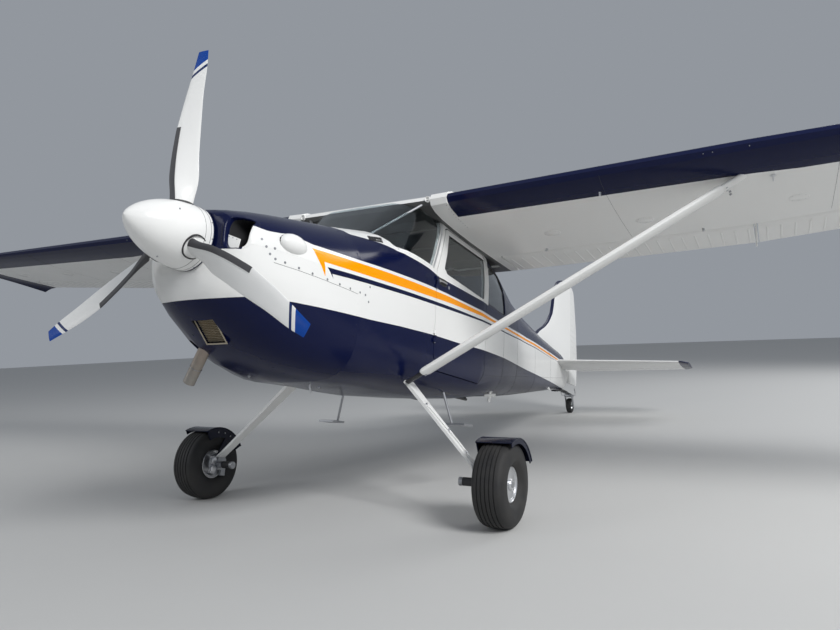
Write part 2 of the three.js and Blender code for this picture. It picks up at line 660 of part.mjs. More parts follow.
function rimProfile(outer, width, bore) {
  const r = outer - GAP;
  const w = width / 2;
  const rows = [
    [bore, -w * 0.5], [r * 0.6, -w * 0.3], [r * 0.85, -w * 0.8], [r, -w * 0.8], [r, w * 0.8],
    [r * 0.85, w * 0.8], [r * 0.6, w * 0.45], [bore, w * 0.6], [bore, -w * 0.5],
  ];
  return rows.map(([a, b]) => new THREE.Vector2(a, b));
}

function strutGeometry() {
  const [x, y] = STRUT.head;
  const head = new THREE.Vector3(x, y, wingPoint(y, (WING.x - x) / WING.chord, -1)[2]);
  const foot = new THREE.Vector3(...STRUT.foot);
  const along = head.clone().sub(foot).normalize();
  const rings = STRUT_ROWS.map(([from, reach, share]) => Array.from({ length: 14 }, (_, j) => {
    const a = (j / 14) * 2 * Math.PI;
    const flat = share * STRUT.thick / 2 * Math.sin(a);
    const p = (from === 'foot' ? foot : head).clone().addScaledVector(along, reach);
    return [p.x + share * STRUT.chord / 2 * Math.cos(a), p.y - along.z * flat, p.z + along.y * flat];
  }));
  const wing = toSolid(moved(loft(WING_SPANS.map(wingRing)), 0, 0, -GAP));
  return toGeometry(toSolid(loft(rings))
    .subtract(wing).subtract(toSolid(body(CABIN_ROWS, -GAP))).subtract(legSolid(4)));
}

// Tail: fixed and moving surfaces share one half section, thickest at the hinge
const LEAD = [   // share of the chord, share of the half thickness
  [0, 0.12], [0.03, 0.38], [0.12, 0.66], [0.35, 0.9], [0.7, 1], [1, 1],
];
const TAIL_NOSE = 5;

// Rings lie across the span: u runs forward from the hinge, v is the thickness direction
function fixedRing(lead, half, put) {
  const rear = half + CLEAR;
  const up = LEAD.map(([f, h]) => [lead + f * (rear - lead), h * half]);
  return [...up, ...up.slice().reverse().map(([u, v]) => [u, -v])].map(([u, v]) => put(u, v));
}

function movingRing(chord, half, put) {
  const points = [[-chord, 2.5], [-chord, -2.5]];
  for (let j = 0; j <= TAIL_NOSE; j++) {
    const a = -Math.PI / 2 + (j / TAIL_NOSE) * Math.PI;
    points.push([half * Math.cos(a), half * Math.sin(a)]);
  }
  return points.map(([u, v]) => put(u, v));
}

// Fin: height, leading edge forward of the hinge, half thickness at the hinge
const FIN_ROWS = [
  [380, 1700, 40], [500, 1520, 40], [600, 1340, 39], [680, 1150, 38], [780, 985, 37], [920, 840, 36],
  [1050, 785, 35], [1170, 755, 33], [1300, 685, 30], [1390, 600, 28], [1450, 480, 26], [1490, 340, 24],
  [1505, 215, 22],
];
const TAIL_BRACKETS = { across: [-1200, -420, 420, 1200], up: [620, 980, 1360] };
const TAIL_SLOT = { side: 600, rear: -6300, front: 52, tall: 48 };   // where stabilizer and elevator pass
const RUDDER_ROWS = [   // height, chord, half thickness
  [90, 470, 26], [470, 500, 38], [900, 450, 35], [1300, 350, 29], [1450, 300, 26], [1505, 220, 22],
];

function makeTail() {
  const s = STAB;
  const level = (y) => (u, v) => [s.hingeX + u, y, s.z + v];
  const half = (y) => s.rootHalf + (s.tipHalf - s.rootHalf) * Math.abs(y) / s.half;
  const lead = (y) => s.rootChord + (s.tipChord - s.rootChord) * Math.abs(y) / s.half;
  const nearTip = s.half - s.tipLength;
  const spans = [-s.half, -nearTip, -60, 60, nearTip, s.half];
  const tip = (y) => (Math.abs(y) === s.half ? s.tipShare : 1);
  let stab = toSolid(loft(spans.map((y) => fixedRing(lead(y) * tip(y), half(y), level(y)))));
  const seat = BRACKET.seat;
  const wide = BRACKET.width / 2;
  for (const y of TAIL_BRACKETS.across) {
    const h = half(y);
    const hollow = roundRod([-20, 20].map((d) => ({ at: level(y + d), radius: h + seat })));
    const block = box([s.hingeX, y - wide, s.z - h / 2], [s.hingeX + h + 20, y + wide, s.z + h / 2]);
    stab = stab.add(toSolid(block).subtract(hollow));
  }
  add('stabilizer', toGeometry(stab), WHITE);
  const e = ELEVATOR;
  const plan = [   // y, chord
    [e.inner, e.hornChord], [e.full, e.rootChord], [nearTip, e.tipChord], [s.half, e.tipChord * s.tipShare],
  ];
  const elevatorHalf = loft(plan.map(([y, chord]) => movingRing(chord, half(y), level(y))));
  const tube = new THREE.CylinderGeometry(e.tube, e.tube, 160, 16);
  const elevator = toSolid(elevatorHalf).add(toSolid(mirror(elevatorHalf)))
    .add(toSolid(moved(tube, s.hingeX, 0, s.z)));
  add('elevator', toGeometry(elevator), WHITE);
  const { side, rear, front, tall } = TAIL_SLOT;
  const slotRing = (y) => fixedRing(lead(y) + 1, half(y) + 1, level(y));
  const slot = toSolid(loft([-side, -60, 60, side].map(slotRing)));
  const slotBack = toSolid(box([rear, -side, s.z - tall], [s.hingeX + front, side, s.z + tall]));
  const cone = toSolid(body(TAIL_ROWS)).subtract(slot).subtract(slotBack);
  add('tail_cone', toGeometry(cone), WHITE);
  const upright = (z) => (u, v) => [FIN.hingeX + u, v, z];
  let fin = toSolid(loft(FIN_ROWS.map(([z, u, h]) => fixedRing(u, h, upright(z)))));
  const rudderHalf = (z) => {
    const next = RUDDER_ROWS.findIndex((row) => row[0] >= z);
    const [low, high] = [RUDDER_ROWS[next - 1], RUDDER_ROWS[next]];
    return low[2] + (high[2] - low[2]) * (z - low[0]) / (high[0] - low[0]);
  };
  for (const z of TAIL_BRACKETS.up) {
    const h = rudderHalf(z);
    const end = (d) => ({ at: upright(z + d), radius: rudderHalf(z + d) + seat });
    const hollow = roundRod([-20, 20].map(end));
    const block = box([FIN.hingeX, -h / 2, z - wide], [FIN.hingeX + h + 20, h / 2, z + wide]);
    fin = fin.add(toSolid(block).subtract(hollow));
  }
  fin = fin.subtract(toSolid(body(TAIL_ROWS, -GAP, GAP, -GAP))).subtract(slotBack);
  add('fin', toGeometry(fin), WHITE);
  add('rudder', loft(RUDDER_ROWS.map(([z, chord, h]) => movingRing(chord, h, upright(z)))), WHITE);
}

// Tail wheel on a leaf spring, in a fork that steers about an upright pin
const FORK = { x: -6190, top: -64 - GAP, crown: -96, half: 44, plate: 8, pin: 9 };
const LEAF_HALF = 30;
const LEAF = [   // x, z
  [-5480, -78], [-5840, -34], [-6000, -40], [-6130, -52], [-6240, -52], [-6240, -64], [-6130, -64],
  [-5840, -53], [-5480, -97],
];

function makeTailWheel() {
  const w = TAIL_WHEEL;
  const leaf = toSolid(prismY(LEAF, -LEAF_HALF, LEAF_HALF));
  add('tail_spring', toGeometry(leaf.subtract(toSolid(body(TAIL_ROWS, -GAP)))), STEEL);
  const out = FORK.half + FORK.plate;
  let fork = toSolid(box([FORK.x - 90, -out, FORK.crown], [FORK.x + 34, out, FORK.top]));
  const cheek = [
    [FORK.x - 40, FORK.crown + 5], [FORK.x + 10, FORK.crown + 5], [w.x + 26, w.z - 24], [w.x - 26, w.z - 24],
    [w.x - 30, w.z + 30],
  ];
  for (const y of [FORK.half, -out]) fork = fork.add(toSolid(prismY(cheek, y, y + FORK.plate)));
  const pin = new THREE.CylinderGeometry(FORK.pin, FORK.pin, 2 * FORK.half + 10, 12);
  fork = fork.add(toSolid(moved(pin, w.x, 0, w.z)));
  add('tail_fork', toGeometry(fork), STEEL);
  const tyre = facingOut(new THREE.LatheGeometry(tyreProfile(w.radius, w.width, w.rim), 24));
  add('tail_tyre', tyre, RUBBER, [w.x, 0, w.z]);
  const rim = facingOut(new THREE.LatheGeometry(rimProfile(w.rim, w.rimWidth, w.bore), 24));
  add('tail_rim', rim, ALUMINIUM, [w.x, 0, w.z]);
}

// Boarding steps under the doors: a thin tube down from the belly with a small tread at its foot
const STEP = { top: [-1276, 437, -540], foot: [-1316, 506, -787], radius: 9, tread: [150, 130, 14] };

function makeSteps() {
  const [top, foot] = [new THREE.Vector3(...STEP.top), new THREE.Vector3(...STEP.foot)];
  const rod = new THREE.CylinderGeometry(STEP.radius, STEP.radius, top.distanceTo(foot), 12);
  rod.applyQuaternion(turnedTo(top.clone().sub(foot)));
  const [long, wide, thick] = STEP.tread;
  const tread = box([foot.x - long / 2, foot.y - thick, foot.z - thick / 2],
    [foot.x + long / 2, foot.y + wide, foot.z + thick / 2]);
  const step = toSolid(moved(rod, ...top.add(foot).multiplyScalar(0.5).toArray())).add(toSolid(tread));
  const under = toSolid(body(CABIN_ROWS, -GAP));
  const shape = toGeometry(step.subtract(under));
  for (const [side, sign] of SIDES) add(`step_${side}`, sided(shape, sign), WHITE);
}

// Cabin furniture
const FLOOR = BELLY + WALL + 22;
const BAGGAGE = FLOOR + 182;
const BOARD_HALF = 420;
const DEEP = FLOOR - 260;
const BOARD = [   // x, z
  [-470, FLOOR], [-1200, FLOOR], [-1760, FLOOR + 40], [-2400, BAGGAGE], [-2860, BAGGAGE], [-2860, DEEP],
  [-470, DEEP],
];
const PANEL = {
  face: -520, front: -470, hood: -380, low: 20, ledge: 300, top: 330, half: 470, hoodHalf: 440,
};
const SEATS = [   // name, y from, y to, x of the cushion's front
  ['left', 40, 480, -1000], ['right', -480, -40, -1000], ['rear', -440, 440, -1760],
];
// Heights above the floor, and distances behind the cushion's front
const SEAT = { base: 130, low: 120, cushion: 330, deep: 470, inset: 60, baseDeep: 400 };
const SEAT_BACK = [[400, 300], [490, 900], [590, 900], [520, 200]];

function seatSolid(y0, y1, x) {
  const s = SEAT;
  const cushion = box([x - s.deep, y0, FLOOR + s.low], [x, y1, FLOOR + s.cushion]);
  const back = prismY(SEAT_BACK.map(([behind, up]) => [x - behind, FLOOR + up]), y0, y1);
  const base = box([x - s.baseDeep, y0 + s.inset, FLOOR + GAP], [x - s.inset, y1 - s.inset, FLOOR + s.base]);
  return toSolid(cushion).add(toSolid(back)).add(toSolid(base));
}

function makeInterior() {
  const room = toSolid(body(CABIN_ROWS, WALL + GAP, WALL + GAP, WALL + GAP));
  add('cabin_floor', toGeometry(toSolid(prismY(BOARD, -BOARD_HALF, BOARD_HALF)).intersect(room)), BLACK);
  const p = PANEL;
  const panel = toSolid(box([p.face, -p.half, p.low], [p.front, p.half, p.top]))
    .add(toSolid(box([p.face, -p.hoodHalf, p.ledge], [p.hood, p.hoodHalf, p.top])));
  add('instrument_panel', toGeometry(panel.intersect(room)), BLACK);
  const raised = toSolid(moved(prismY(BOARD, -FUSE_HALF, FUSE_HALF), 0, 0, GAP));
  for (const [name, y0, y1, x] of SEATS) {
    add(`seat_${name}`, toGeometry(seatSolid(y0, y1, x).intersect(room).subtract(raised)), FABRIC);
  }
}

makeWings();
makeCabin();
makeCowl();
makePropeller();
makeGear();
makeTail();
makeTailWheel();
makeSteps();
makeInterior();

plane.rotation.y = -ATTITUDE;
plane.updateMatrixWorld(true);
const bounds = new THREE.Box3().setFromObject(plane, true);
plane.position.set(-(bounds.min.x + bounds.max.x) / 2, 0, -bounds.min.z);

export default plane;
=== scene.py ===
import json
import math

import bmesh
import bpy
from mathutils import Matrix, Vector
from mathutils.bvhtree import BVHTree

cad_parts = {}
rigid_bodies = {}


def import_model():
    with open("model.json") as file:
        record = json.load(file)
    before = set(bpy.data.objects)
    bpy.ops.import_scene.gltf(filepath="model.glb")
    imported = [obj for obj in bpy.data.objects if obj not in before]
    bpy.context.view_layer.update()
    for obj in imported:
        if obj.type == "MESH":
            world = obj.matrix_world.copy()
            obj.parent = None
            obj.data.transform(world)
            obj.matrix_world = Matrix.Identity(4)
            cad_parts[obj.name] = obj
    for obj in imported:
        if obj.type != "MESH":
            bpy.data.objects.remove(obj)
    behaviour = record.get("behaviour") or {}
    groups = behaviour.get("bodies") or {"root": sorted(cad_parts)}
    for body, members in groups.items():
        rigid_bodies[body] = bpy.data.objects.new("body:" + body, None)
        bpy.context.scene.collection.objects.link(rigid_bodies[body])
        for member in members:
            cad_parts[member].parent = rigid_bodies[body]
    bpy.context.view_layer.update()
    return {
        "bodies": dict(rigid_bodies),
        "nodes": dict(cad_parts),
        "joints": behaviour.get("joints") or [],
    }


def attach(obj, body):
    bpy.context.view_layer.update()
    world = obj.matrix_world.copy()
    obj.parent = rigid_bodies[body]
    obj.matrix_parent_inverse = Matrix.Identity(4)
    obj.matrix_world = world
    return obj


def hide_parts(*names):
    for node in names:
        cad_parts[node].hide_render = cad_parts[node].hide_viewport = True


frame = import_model()
nodes = frame["nodes"]

# The aircraft's level axes: +X forward, +Y to its left, +Z up, zero at the firewall on the
# propeller's axis. The frame holds it parked with its nose up, and the propeller's joint gives
# both the tilt and the place.
PROPELLER_X = 0.933
spin = next(j for j in frame["joints"] if j["name"] == "propeller_spin")
tilt = math.atan2(spin["axis"][2], spin["axis"][0])
LEVEL = Matrix.Rotation(-tilt, 4, "Y")
LEVEL.translation = Vector(spin["pos_m"]) - LEVEL @ Vector((PROPELLER_X, 0, 0))
TO_LEVEL = LEVEL.inverted()
SIDES = (("left", 1), ("right", -1))

# Colours
NAVY = (0.004, 0.007, 0.038, 1)
WHITE = (0.79, 0.79, 0.775, 1)
GOLD = (0.95, 0.33, 0.0, 1)
BLUE = (0.006, 0.055, 0.30, 1)
# Near black for the insides of the hollow skins: painted shade of the dark cabin, cowl and tail cone, partly
# the cabin lining's own colour
LINING_AND_SHADE = (0.030, 0.030, 0.032, 1)


# Camera
def aim_camera():
    """Stands where the photograph was taken from: place in level axes, then yaw, pitch and roll."""
    place, yaw, pitch, roll = (3.1816, 2.6233, -1.0232), -151.607, 11.832, 3.0
    focal_px, width_px, sensor = 672.48, 840, 36.0
    yaw, pitch, roll = (math.radians(a) for a in (yaw, pitch, roll))
    ahead = Vector((math.cos(pitch) * math.cos(yaw), math.cos(pitch) * math.sin(yaw), math.sin(pitch)))
    right = ahead.cross(Vector((0, 0, 1))).normalized()
    up = right.cross(ahead)
    side = right * math.cos(roll) + up * math.sin(roll)
    top = up * math.cos(roll) - right * math.sin(roll)
    turn = Matrix((side, top, -ahead)).transposed().to_4x4()
    data = bpy.data.cameras.new("camera")
    data.sensor_width = sensor
    data.lens = focal_px / width_px * sensor
    data.clip_start, data.clip_end = 0.05, 200
    camera = bpy.data.objects.new("camera", data)
    bpy.context.scene.collection.objects.link(camera)
    camera.matrix_world = LEVEL @ Matrix.Translation(place) @ turn
    bpy.context.scene.camera = camera


aim_camera()


# Shader helpers
class Nodes:
    """A short way to write a node tree: every call adds a node and gives back its output."""

    def __init__(self, name):
        self.material = bpy.data.materials.new(name)
        self.material.use_nodes = True
        self.tree = self.material.node_tree
        self.shader = self.tree.nodes["Principled BSDF"]

    def add(self, kind, inputs=(), out=0, **settings):
        node = self.tree.nodes.new(kind)
        for key, value in settings.items():
            setattr(node, key, value)
        for socket, value in dict(inputs).items():
            self.feed(node.inputs[socket], value)
        return node.outputs[out]

    def feed(self, socket, value):
        if isinstance(value, bpy.types.NodeSocket):
            self.tree.links.new(value, socket)
        else:
            socket.default_value = value

    def math(self, operation, a, b=0.0):
        return self.add("ShaderNodeMath", {0: a, 1: b}, operation=operation)

    def times(self, a, b):
        return self.math("MULTIPLY", a, b)

    def most(self, a, b):
        return self.math("MAXIMUM", a, b)

    def over(self, a, b):
        """1 where a is more than b."""
        return self.math("GREATER_THAN", a, b)

    def mix(self, share, a, b):
        return self.add("ShaderNodeMix", {0: share, 6: a, 7: b}, out=2, data_type="RGBA")

    def noise(self, scale, detail=3.0, rough=0.5):
        return self.add("ShaderNodeTexNoise", {"Scale": scale, "Detail": detail, "Roughness": rough,
                                               "Vector": self.place()})

    def spread(self, value, low, high, to_low, to_high):
        return self.add("ShaderNodeMapRange", {0: value, 1: low, 2: high, 3: to_low, 4: to_high})

    def place(self):
        return self.add("ShaderNodeTexCoord", out=3)

    def split(self, vector):
        return self.add("ShaderNodeSeparateXYZ", {0: vector}, out=slice(0, 3))

    def level(self):
        """The point's place in the aircraft's level axes, as three numbers."""
        return self.split(self.add("ShaderNodeMapping",
                                   {"Vector": self.place(), "Location": TO_LEVEL.translation,
                                    "Rotation": TO_LEVEL.to_euler()}))

    def facing(self):
        """The surface's direction in the aircraft's level axes, as three numbers."""
        normal = self.add("ShaderNodeTexCoord", out=1)
        return self.split(self.add("ShaderNodeMapping", {"Vector": normal, "Rotation": TO_LEVEL.to_euler()},
                                   vector_type="VECTOR"))

    def inner(self, y, z, middle):
        """1 where a hollow body's surface looks towards its own middle line: its inside."""
        _, side, up = self.facing()
        outward = self.math("ADD", self.times(side, y),
                            self.times(up, self.math("SUBTRACT", z, middle)))
        return self.over(-0.04, outward)

    def curve(self, value, points, low, high):
        """A bent line through points of (input, output); both run between low and high."""
        span = high - low
        inside = self.math("DIVIDE", self.math("SUBTRACT", value, low), span)
        node = self.tree.nodes.new("ShaderNodeFloatCurve")
        self.tree.links.new(inside, node.inputs["Value"])
        line = node.mapping.curves[0]
        rows = sorted(((x - low) / span, (z - low) / span) for x, z in points)
        while len(line.points) < len(rows):
            line.points.new(0.5, 0.5)
        for point, (x, z) in zip(line.points, rows):
            point.location = (x, z)
            point.handle_type = "VECTOR"
        node.mapping.update()
        return self.math("ADD", self.times(node.outputs[0], span), low)

    def bump(self, height, strength, distance):
        normal = self.add("ShaderNodeBump", {"Height": height, "Strength": strength, "Distance": distance})
        self.tree.links.new(normal, self.shader.inputs["Normal"])

    def set(self, **values):
        for key, value in values.items():
            self.feed(self.shader.inputs[key.replace("_", " ")], value)
        return self.material


def gloss_finish(n, colour):
    """Aircraft enamel: clear coat, a little orange peel and a trace of dust in its sheen."""
    grime = n.noise(2.3, 5.0, 0.6)
    tint = n.mix(n.spread(grime, 0.45, 0.85, 0.0, 0.012), colour, (0.30, 0.29, 0.26, 1))
    n.set(Base_Color=tint, Roughness=n.spread(grime, 0.3, 0.75, 0.16, 0.26),
          Coat_Weight=0.04, Coat_Roughness=0.05, Specular_IOR_Level=0.14)
    n.bump(n.noise(420.0, 1.0), 0.035, 0.001)
    return n.material


# Side lines of the paint scheme in level metres: (x, z)
NAVY_FOOT = [(1.4, -0.33), (0.80, -0.309), (0.72, -0.291), (0.499, -0.276), (0.176, -0.264),
             (-0.10, -0.252), (-0.42, -0.230), (-0.81, -0.209), (-1.288, -0.193), (-1.923, -0.159),
             (-2.592, -0.130), (-3.55, -0.098), (-4.70, -0.063), (-6.2, -0.02)]
THIN_LOW = [(1.4, -0.12), (0.254, -0.068), (-0.07, -0.044), (-0.517, -0.015), (-1.09, 0.018),
            (-1.45, 0.041), (-1.90, 0.066), (-2.35, 0.085), (-3.03, 0.143), (-3.8, 0.193), (-4.7, 0.228),
            (-6.2, 0.30)]
THIN_TOP = [(1.4, -0.09), (0.308, -0.040), (0.027, -0.022), (-0.396, 0.005), (-0.929, 0.034),
            (-1.263, 0.052), (-1.646, 0.067), (-1.90, 0.082), (-2.35, 0.097), (-3.03, 0.153), (-3.8, 0.201),
            (-4.7, 0.232), (-6.2, 0.30)]
GOLD_LOW = [(1.4, -0.06), (0.335, -0.017), (0.12, -0.007), (-0.28, 0.017), (-0.78, 0.048), (-1.087, 0.069),
            (-1.446, 0.087), (-1.90, 0.105), (-2.35, 0.122), (-3.03, 0.170), (-3.8, 0.216), (-4.7, 0.250),
            (-6.2, 0.32)]
GOLD_TOP = [(1.4, -0.01), (0.417, 0.039), (0.111, 0.056), (-0.28, 0.079), (-0.775, 0.101), (-1.084, 0.113),
            (-1.444, 0.120), (-1.90, 0.128), (-2.35, 0.142), (-3.03, 0.192), (-3.8, 0.240), (-4.7, 0.276),
            (-6.2, 0.325)]
CROWN_LOW = [(1.4, 0.02), (0.80, 0.068), (0.76, 0.064), (0.68, 0.055), (0.61, 0.064), (0.55, 0.080),
             (0.49, 0.073), (0.416, 0.063), (0.105, 0.077), (-0.283, 0.099), (-0.774, 0.121),
             (-1.443, 0.136), (-1.90, 0.146), (-2.35, 0.160), (-3.03, 0.210), (-3.8, 0.258), (-4.7, 0.294),
             (-6.2, 0.34)]
SILL_LOW = [(1.4, 0.9), (0.02, 0.9), (-0.02, 0.279), (-0.12, 0.281), (-0.29, 0.287), (-0.364, 0.281),
            (-0.44, 0.267), (-0.52, 0.252), (-0.764, 0.238), (-0.915, 0.214), (-1.80, 0.222),
            (-1.845, 0.215), (-1.85, 0.9), (-6.2, 0.9)]

# The fin's leading edge: (z, x)
FIN_LEAD = [(0.38, -4.42), (0.50, -4.60), (0.60, -4.78), (0.68, -4.97), (0.78, -5.135), (0.92, -5.28),
            (1.05, -5.335), (1.17, -5.365), (1.30, -5.435), (1.39, -5.52), (1.45, -5.64), (1.49, -5.78),
            (1.505, -5.905)]


def fuselage_paint():
    n = Nodes("fuselage_paint")
    x, y, z = n.level()
    line = lambda points: n.curve(x, points, -6.5, 1.5)
    foot, thin_low, thin_top = line(NAVY_FOOT), line(THIN_LOW), line(THIN_TOP)
    gold_low, gold_top, crown, sill = line(GOLD_LOW), line(GOLD_TOP), line(CROWN_LOW), line(SILL_LOW)
    inside = lambda low, top: n.times(n.over(z, low), n.over(top, z))
    # The arrow heads at the front of both stripes: their slanted front edges and hooked tips
    slant = lambda top_x, top_z, foot_x, foot_z: n.math(
        "ADD", n.times(n.math("SUBTRACT", z, foot_z), (top_x - foot_x) / (top_z - foot_z)), foot_x)
    gold_front = slant(0.417, 0.039, 0.322, -0.093)
    gold_hook = slant(0.331, -0.019, 0.318, -0.093)
    thin_front = slant(0.308, -0.040, 0.254, -0.094)
    thin_hook = slant(0.268, -0.066, 0.254, -0.094)
    behind = lambda edge: n.over(edge, x)
    ahead = lambda edge: n.over(x, edge)
    stripe = lambda low, top, foot, front, hook: n.most(
        n.times(inside(low, top), behind(front)),
        n.times(inside(foot, low), n.times(behind(front), ahead(hook))))
    gold = stripe(gold_low, gold_top, -0.093, gold_front, gold_hook)
    thin = stripe(thin_low, thin_top, -0.094, thin_front, thin_hook)
    collar = n.times(n.over(x, 0.80), n.over(z, -0.07))
    navy = n.most(n.most(inside(crown, sill), collar), n.most(thin, n.over(foot, z)))
    colour = n.mix(gold, n.mix(navy, WHITE, NAVY), GOLD)
    # the inward faces take the near black: painted shade of the dark interior, partly the lining's own colour
    return gloss_finish(n, n.mix(n.inner(y, z, 0.1), colour, LINING_AND_SHADE))


def wing_paint():
    n = Nodes("wing_paint")
    x, y, _ = n.level()
    out = n.math("ABSOLUTE", y)
    edge = n.curve(out, [(0, -0.888), (2.55, -0.954), (2.8, -0.985), (5.2, -1.02), (6.0, -1.03)], -2.0, 6.0)
    band = n.times(n.over(x, edge), n.over(out, 0.682))
    return gloss_finish(n, n.mix(n.most(band, n.over(out, 5.305)), WHITE, NAVY))


def roof_paint():
    n = Nodes("roof_paint")
    _, _, up = n.facing()
    # the downward faces, the cabin's ceiling, are dark grey: painted shade of the cabin, partly the ceiling's
    # own colour
    return gloss_finish(n, n.mix(n.over(-0.3, up), WHITE, (0.10, 0.10, 0.10, 1)))


def leg_paint():
    """White spring legs, a little scuffed."""
    n = Nodes("leg_paint")
    scuff = n.noise(14.0, 6.0, 0.7)
    return gloss_finish(n, n.mix(n.spread(scuff, 0.55, 0.85, 0.0, 0.35), WHITE, (0.42, 0.41, 0.38, 1)))


def strut_paint():
    """White struts whose neck at the fuselage is bare dark fitting."""
    n = Nodes("strut_paint")
    _, y, _ = n.level()
    neck = n.over(0.607, n.math("ABSOLUTE", y))
    return gloss_finish(n, n.mix(neck, WHITE, (0.03, 0.03, 0.035, 1)))


def fin_paint():
    n = Nodes("fin_paint")
    x, _, z = n.level()
    lead = n.curve(z, FIN_LEAD, -6.2, 2.5)
    navy = n.over(x, n.math("SUBTRACT", lead, 0.062))
    return gloss_finish(n, n.mix(navy, WHITE, NAVY))


def stabilizer_paint():
    n = Nodes("stabilizer_paint")
    _, y, _ = n.level()
    tip = n.over(n.math("ABSOLUTE", y), 1.555)
    return gloss_finish(n, n.mix(tip, WHITE, NAVY))


def propeller_paint():
    n = Nodes("propeller_paint")
    _, y, z = n.level()
    reach = n.math("SQRT", n.math("ADD", n.times(y, y), n.times(z, z)))
    # Each blade's own sideways distance slants its tip bands across the chord
    turn = n.math("ADD", n.math("ARCTAN2", n.times(y, -1.0), z), math.radians(1))
    third = math.radians(60)
    own = n.add("ShaderNodeMath", {0: turn, 1: third, 2: -third}, operation="WRAP")
    along = n.times(reach, n.math("SINE", own))
    place = n.math("ADD", reach, n.times(along, 0.62))
    blue = n.over(place, 0.935)
    ring = n.times(n.over(place, 0.893), n.over(0.911, place))
    colour = n.mix(ring, n.mix(blue, WHITE, BLUE), (0.015, 0.03, 0.11, 1))
    return gloss_finish(n, colour)


def plain_paint(name, colour):
    """Enamel in one colour."""
    return gloss_finish(Nodes(name), colour)


def glazing():
    n = Nodes("glazing")
    haze = n.noise(3.0, 4.0, 0.6)
    n.set(Base_Color=(0.86, 0.93, 0.95, 1), Roughness=n.spread(haze, 0.3, 0.8, 0.0, 0.05), IOR=1.45,
          Transmission_Weight=1.0, Specular_IOR_Level=0.5)
    return n.material


def shade(colour, by, plus=0.0):
    """A colour made darker or lighter."""
    return tuple(min(1, c * by + plus) for c in colour[:3]) + (1,)


def metal(name, colour, rough):
    """Bare metal with duller patches."""
    n = Nodes(name)
    patches = n.noise(9.0, 5.0, 0.6)
    tint = n.mix(n.spread(patches, 0.3, 0.8, 0.0, 0.45), colour, shade(colour, 0.55))
    n.set(Base_Color=tint, Metallic=0.9, Roughness=n.spread(patches, 0.2, 0.8, rough, rough + 0.1))
    n.bump(n.noise(260.0, 2.0), 0.08, 0.001)
    return n.material


def rubber():
    n = Nodes("rubber")
    dust = n.noise(7.0, 6.0, 0.65)
    tint = n.mix(n.spread(dust, 0.4, 0.85, 0.0, 0.35), (0.012, 0.012, 0.013, 1), (0.08, 0.075, 0.065, 1))
    n.set(Base_Color=tint, Roughness=n.spread(dust, 0.2, 0.8, 0.55, 0.85))
    n.bump(n.noise(180.0, 4.0), 0.25, 0.002)
    return n.material


def trim(name, colour, rough):
    """Plastic, rubber or cloth in one colour, a little worn."""
    n = Nodes(name)
    worn = n.noise(12.0, 4.0)
    tint = n.mix(n.spread(worn, 0.4, 0.9, 0.0, 0.3), colour, shade(colour, 2, 0.02))
    n.set(Base_Color=tint, Roughness=n.spread(worn, 0.2, 0.8, rough - 0.1, rough + 0.1))
    n.bump(n.noise(500.0, 2.0), 0.2, 0.001)
    return n.material


def fabric():
    n = Nodes("seat_fabric")
    place = n.place()
    weave = n.add("ShaderNodeTexWave", {"Vector": place, "Scale": 260.0, "Distortion": 1.5, "Detail": 1.0})
    cross = n.add("ShaderNodeTexWave", {"Vector": place, "Scale": 260.0, "Distortion": 1.5},
                  bands_direction="Z")
    patch = n.noise(6.0, 4.0)
    tint = n.mix(n.spread(patch, 0.3, 0.8, 0.0, 1.0), (0.11, 0.105, 0.10, 1), (0.17, 0.16, 0.15, 1))
    n.set(Base_Color=tint, Roughness=0.9, Sheen_Weight=0.4)
    n.bump(n.math("ADD", weave, cross), 0.35, 0.001)
    return n.material


def stained_pipe():
    """Exhaust steel, browner towards its open end."""
    n = Nodes("exhaust_metal")
    _, _, z = n.level()
    heat = n.spread(n.math("ADD", z, n.times(n.noise(8.0), 0.12)), -0.62, -0.45, 0.0, 1.0)
    tint = n.mix(heat, (0.31, 0.29, 0.265, 1), (0.36, 0.30, 0.25, 1))
    soot = n.noise(30.0, 5.0, 0.7)
    n.set(Base_Color=tint, Metallic=0.8, Roughness=n.spread(soot, 0.2, 0.8, 0.35, 0.65))
    n.bump(soot, 0.2, 0.002)
    return n.material


PAINT = fuselage_paint()
WING = wing_paint()
ROOF = roof_paint()
LEG = leg_paint()
STRUT = strut_paint()
FIN = fin_paint()
STAB = stabilizer_paint()
PROPELLER = propeller_paint()
WHITE_PAINT = plain_paint("white_paint", WHITE)
NAVY_PAINT = plain_paint("navy_paint", NAVY)
FENDER_PAINT = plain_paint("fender_paint", (0.006, 0.008, 0.022, 1))
GLASS = glazing()
STEEL = metal("steel", (0.42, 0.43, 0.45, 1), 0.35)
ALUMINIUM = metal("aluminium", (0.72, 0.73, 0.75, 1), 0.28)
ENGINE = metal("engine_metal", (0.17, 0.17, 0.17, 1), 0.55)
BRASS = metal("filter_frame", (0.50, 0.45, 0.35, 1), 0.5)
RUBBER = rubber()
BLACK = trim("trim_black", (0.018, 0.018, 0.02, 1), 0.55)
FABRIC = fabric()
PIPE = stained_pipe()

# The finish of every node of the part
SKINS = {"cowl_upper": PAINT, "cowl_lower": PAINT, "tail_cone": PAINT, "cabin_shell": PAINT,
         "cabin_roof": ROOF, "fin": FIN, "rudder": WHITE_PAINT, "stabilizer": STAB, "elevator": STAB,
         "propeller": PROPELLER, "windshield": GLASS, "engine": ENGINE, "air_filter": BRASS,
         "exhaust_pipe": PIPE, "tail_tyre": RUBBER, "tail_rim": ALUMINIUM, "tail_spring": BLACK,
         "tail_fork": STEEL, "cabin_floor": BLACK, "instrument_panel": BLACK, "seat_rear": FABRIC}
for part, material in (("door", PAINT), ("step", STEEL), ("gear_leg", LEG), ("strut", STRUT),
                       ("wing", WING), ("flap", WING), ("aileron", WING), ("door_glass", GLASS),
                       ("rear_glass", GLASS), ("fender", FENDER_PAINT), ("tyre", RUBBER),
                       ("rim", ALUMINIUM), ("axle", STEEL), ("seat", FABRIC)):
    SKINS |= {f"{part}_{side}": material for side, _ in SIDES}


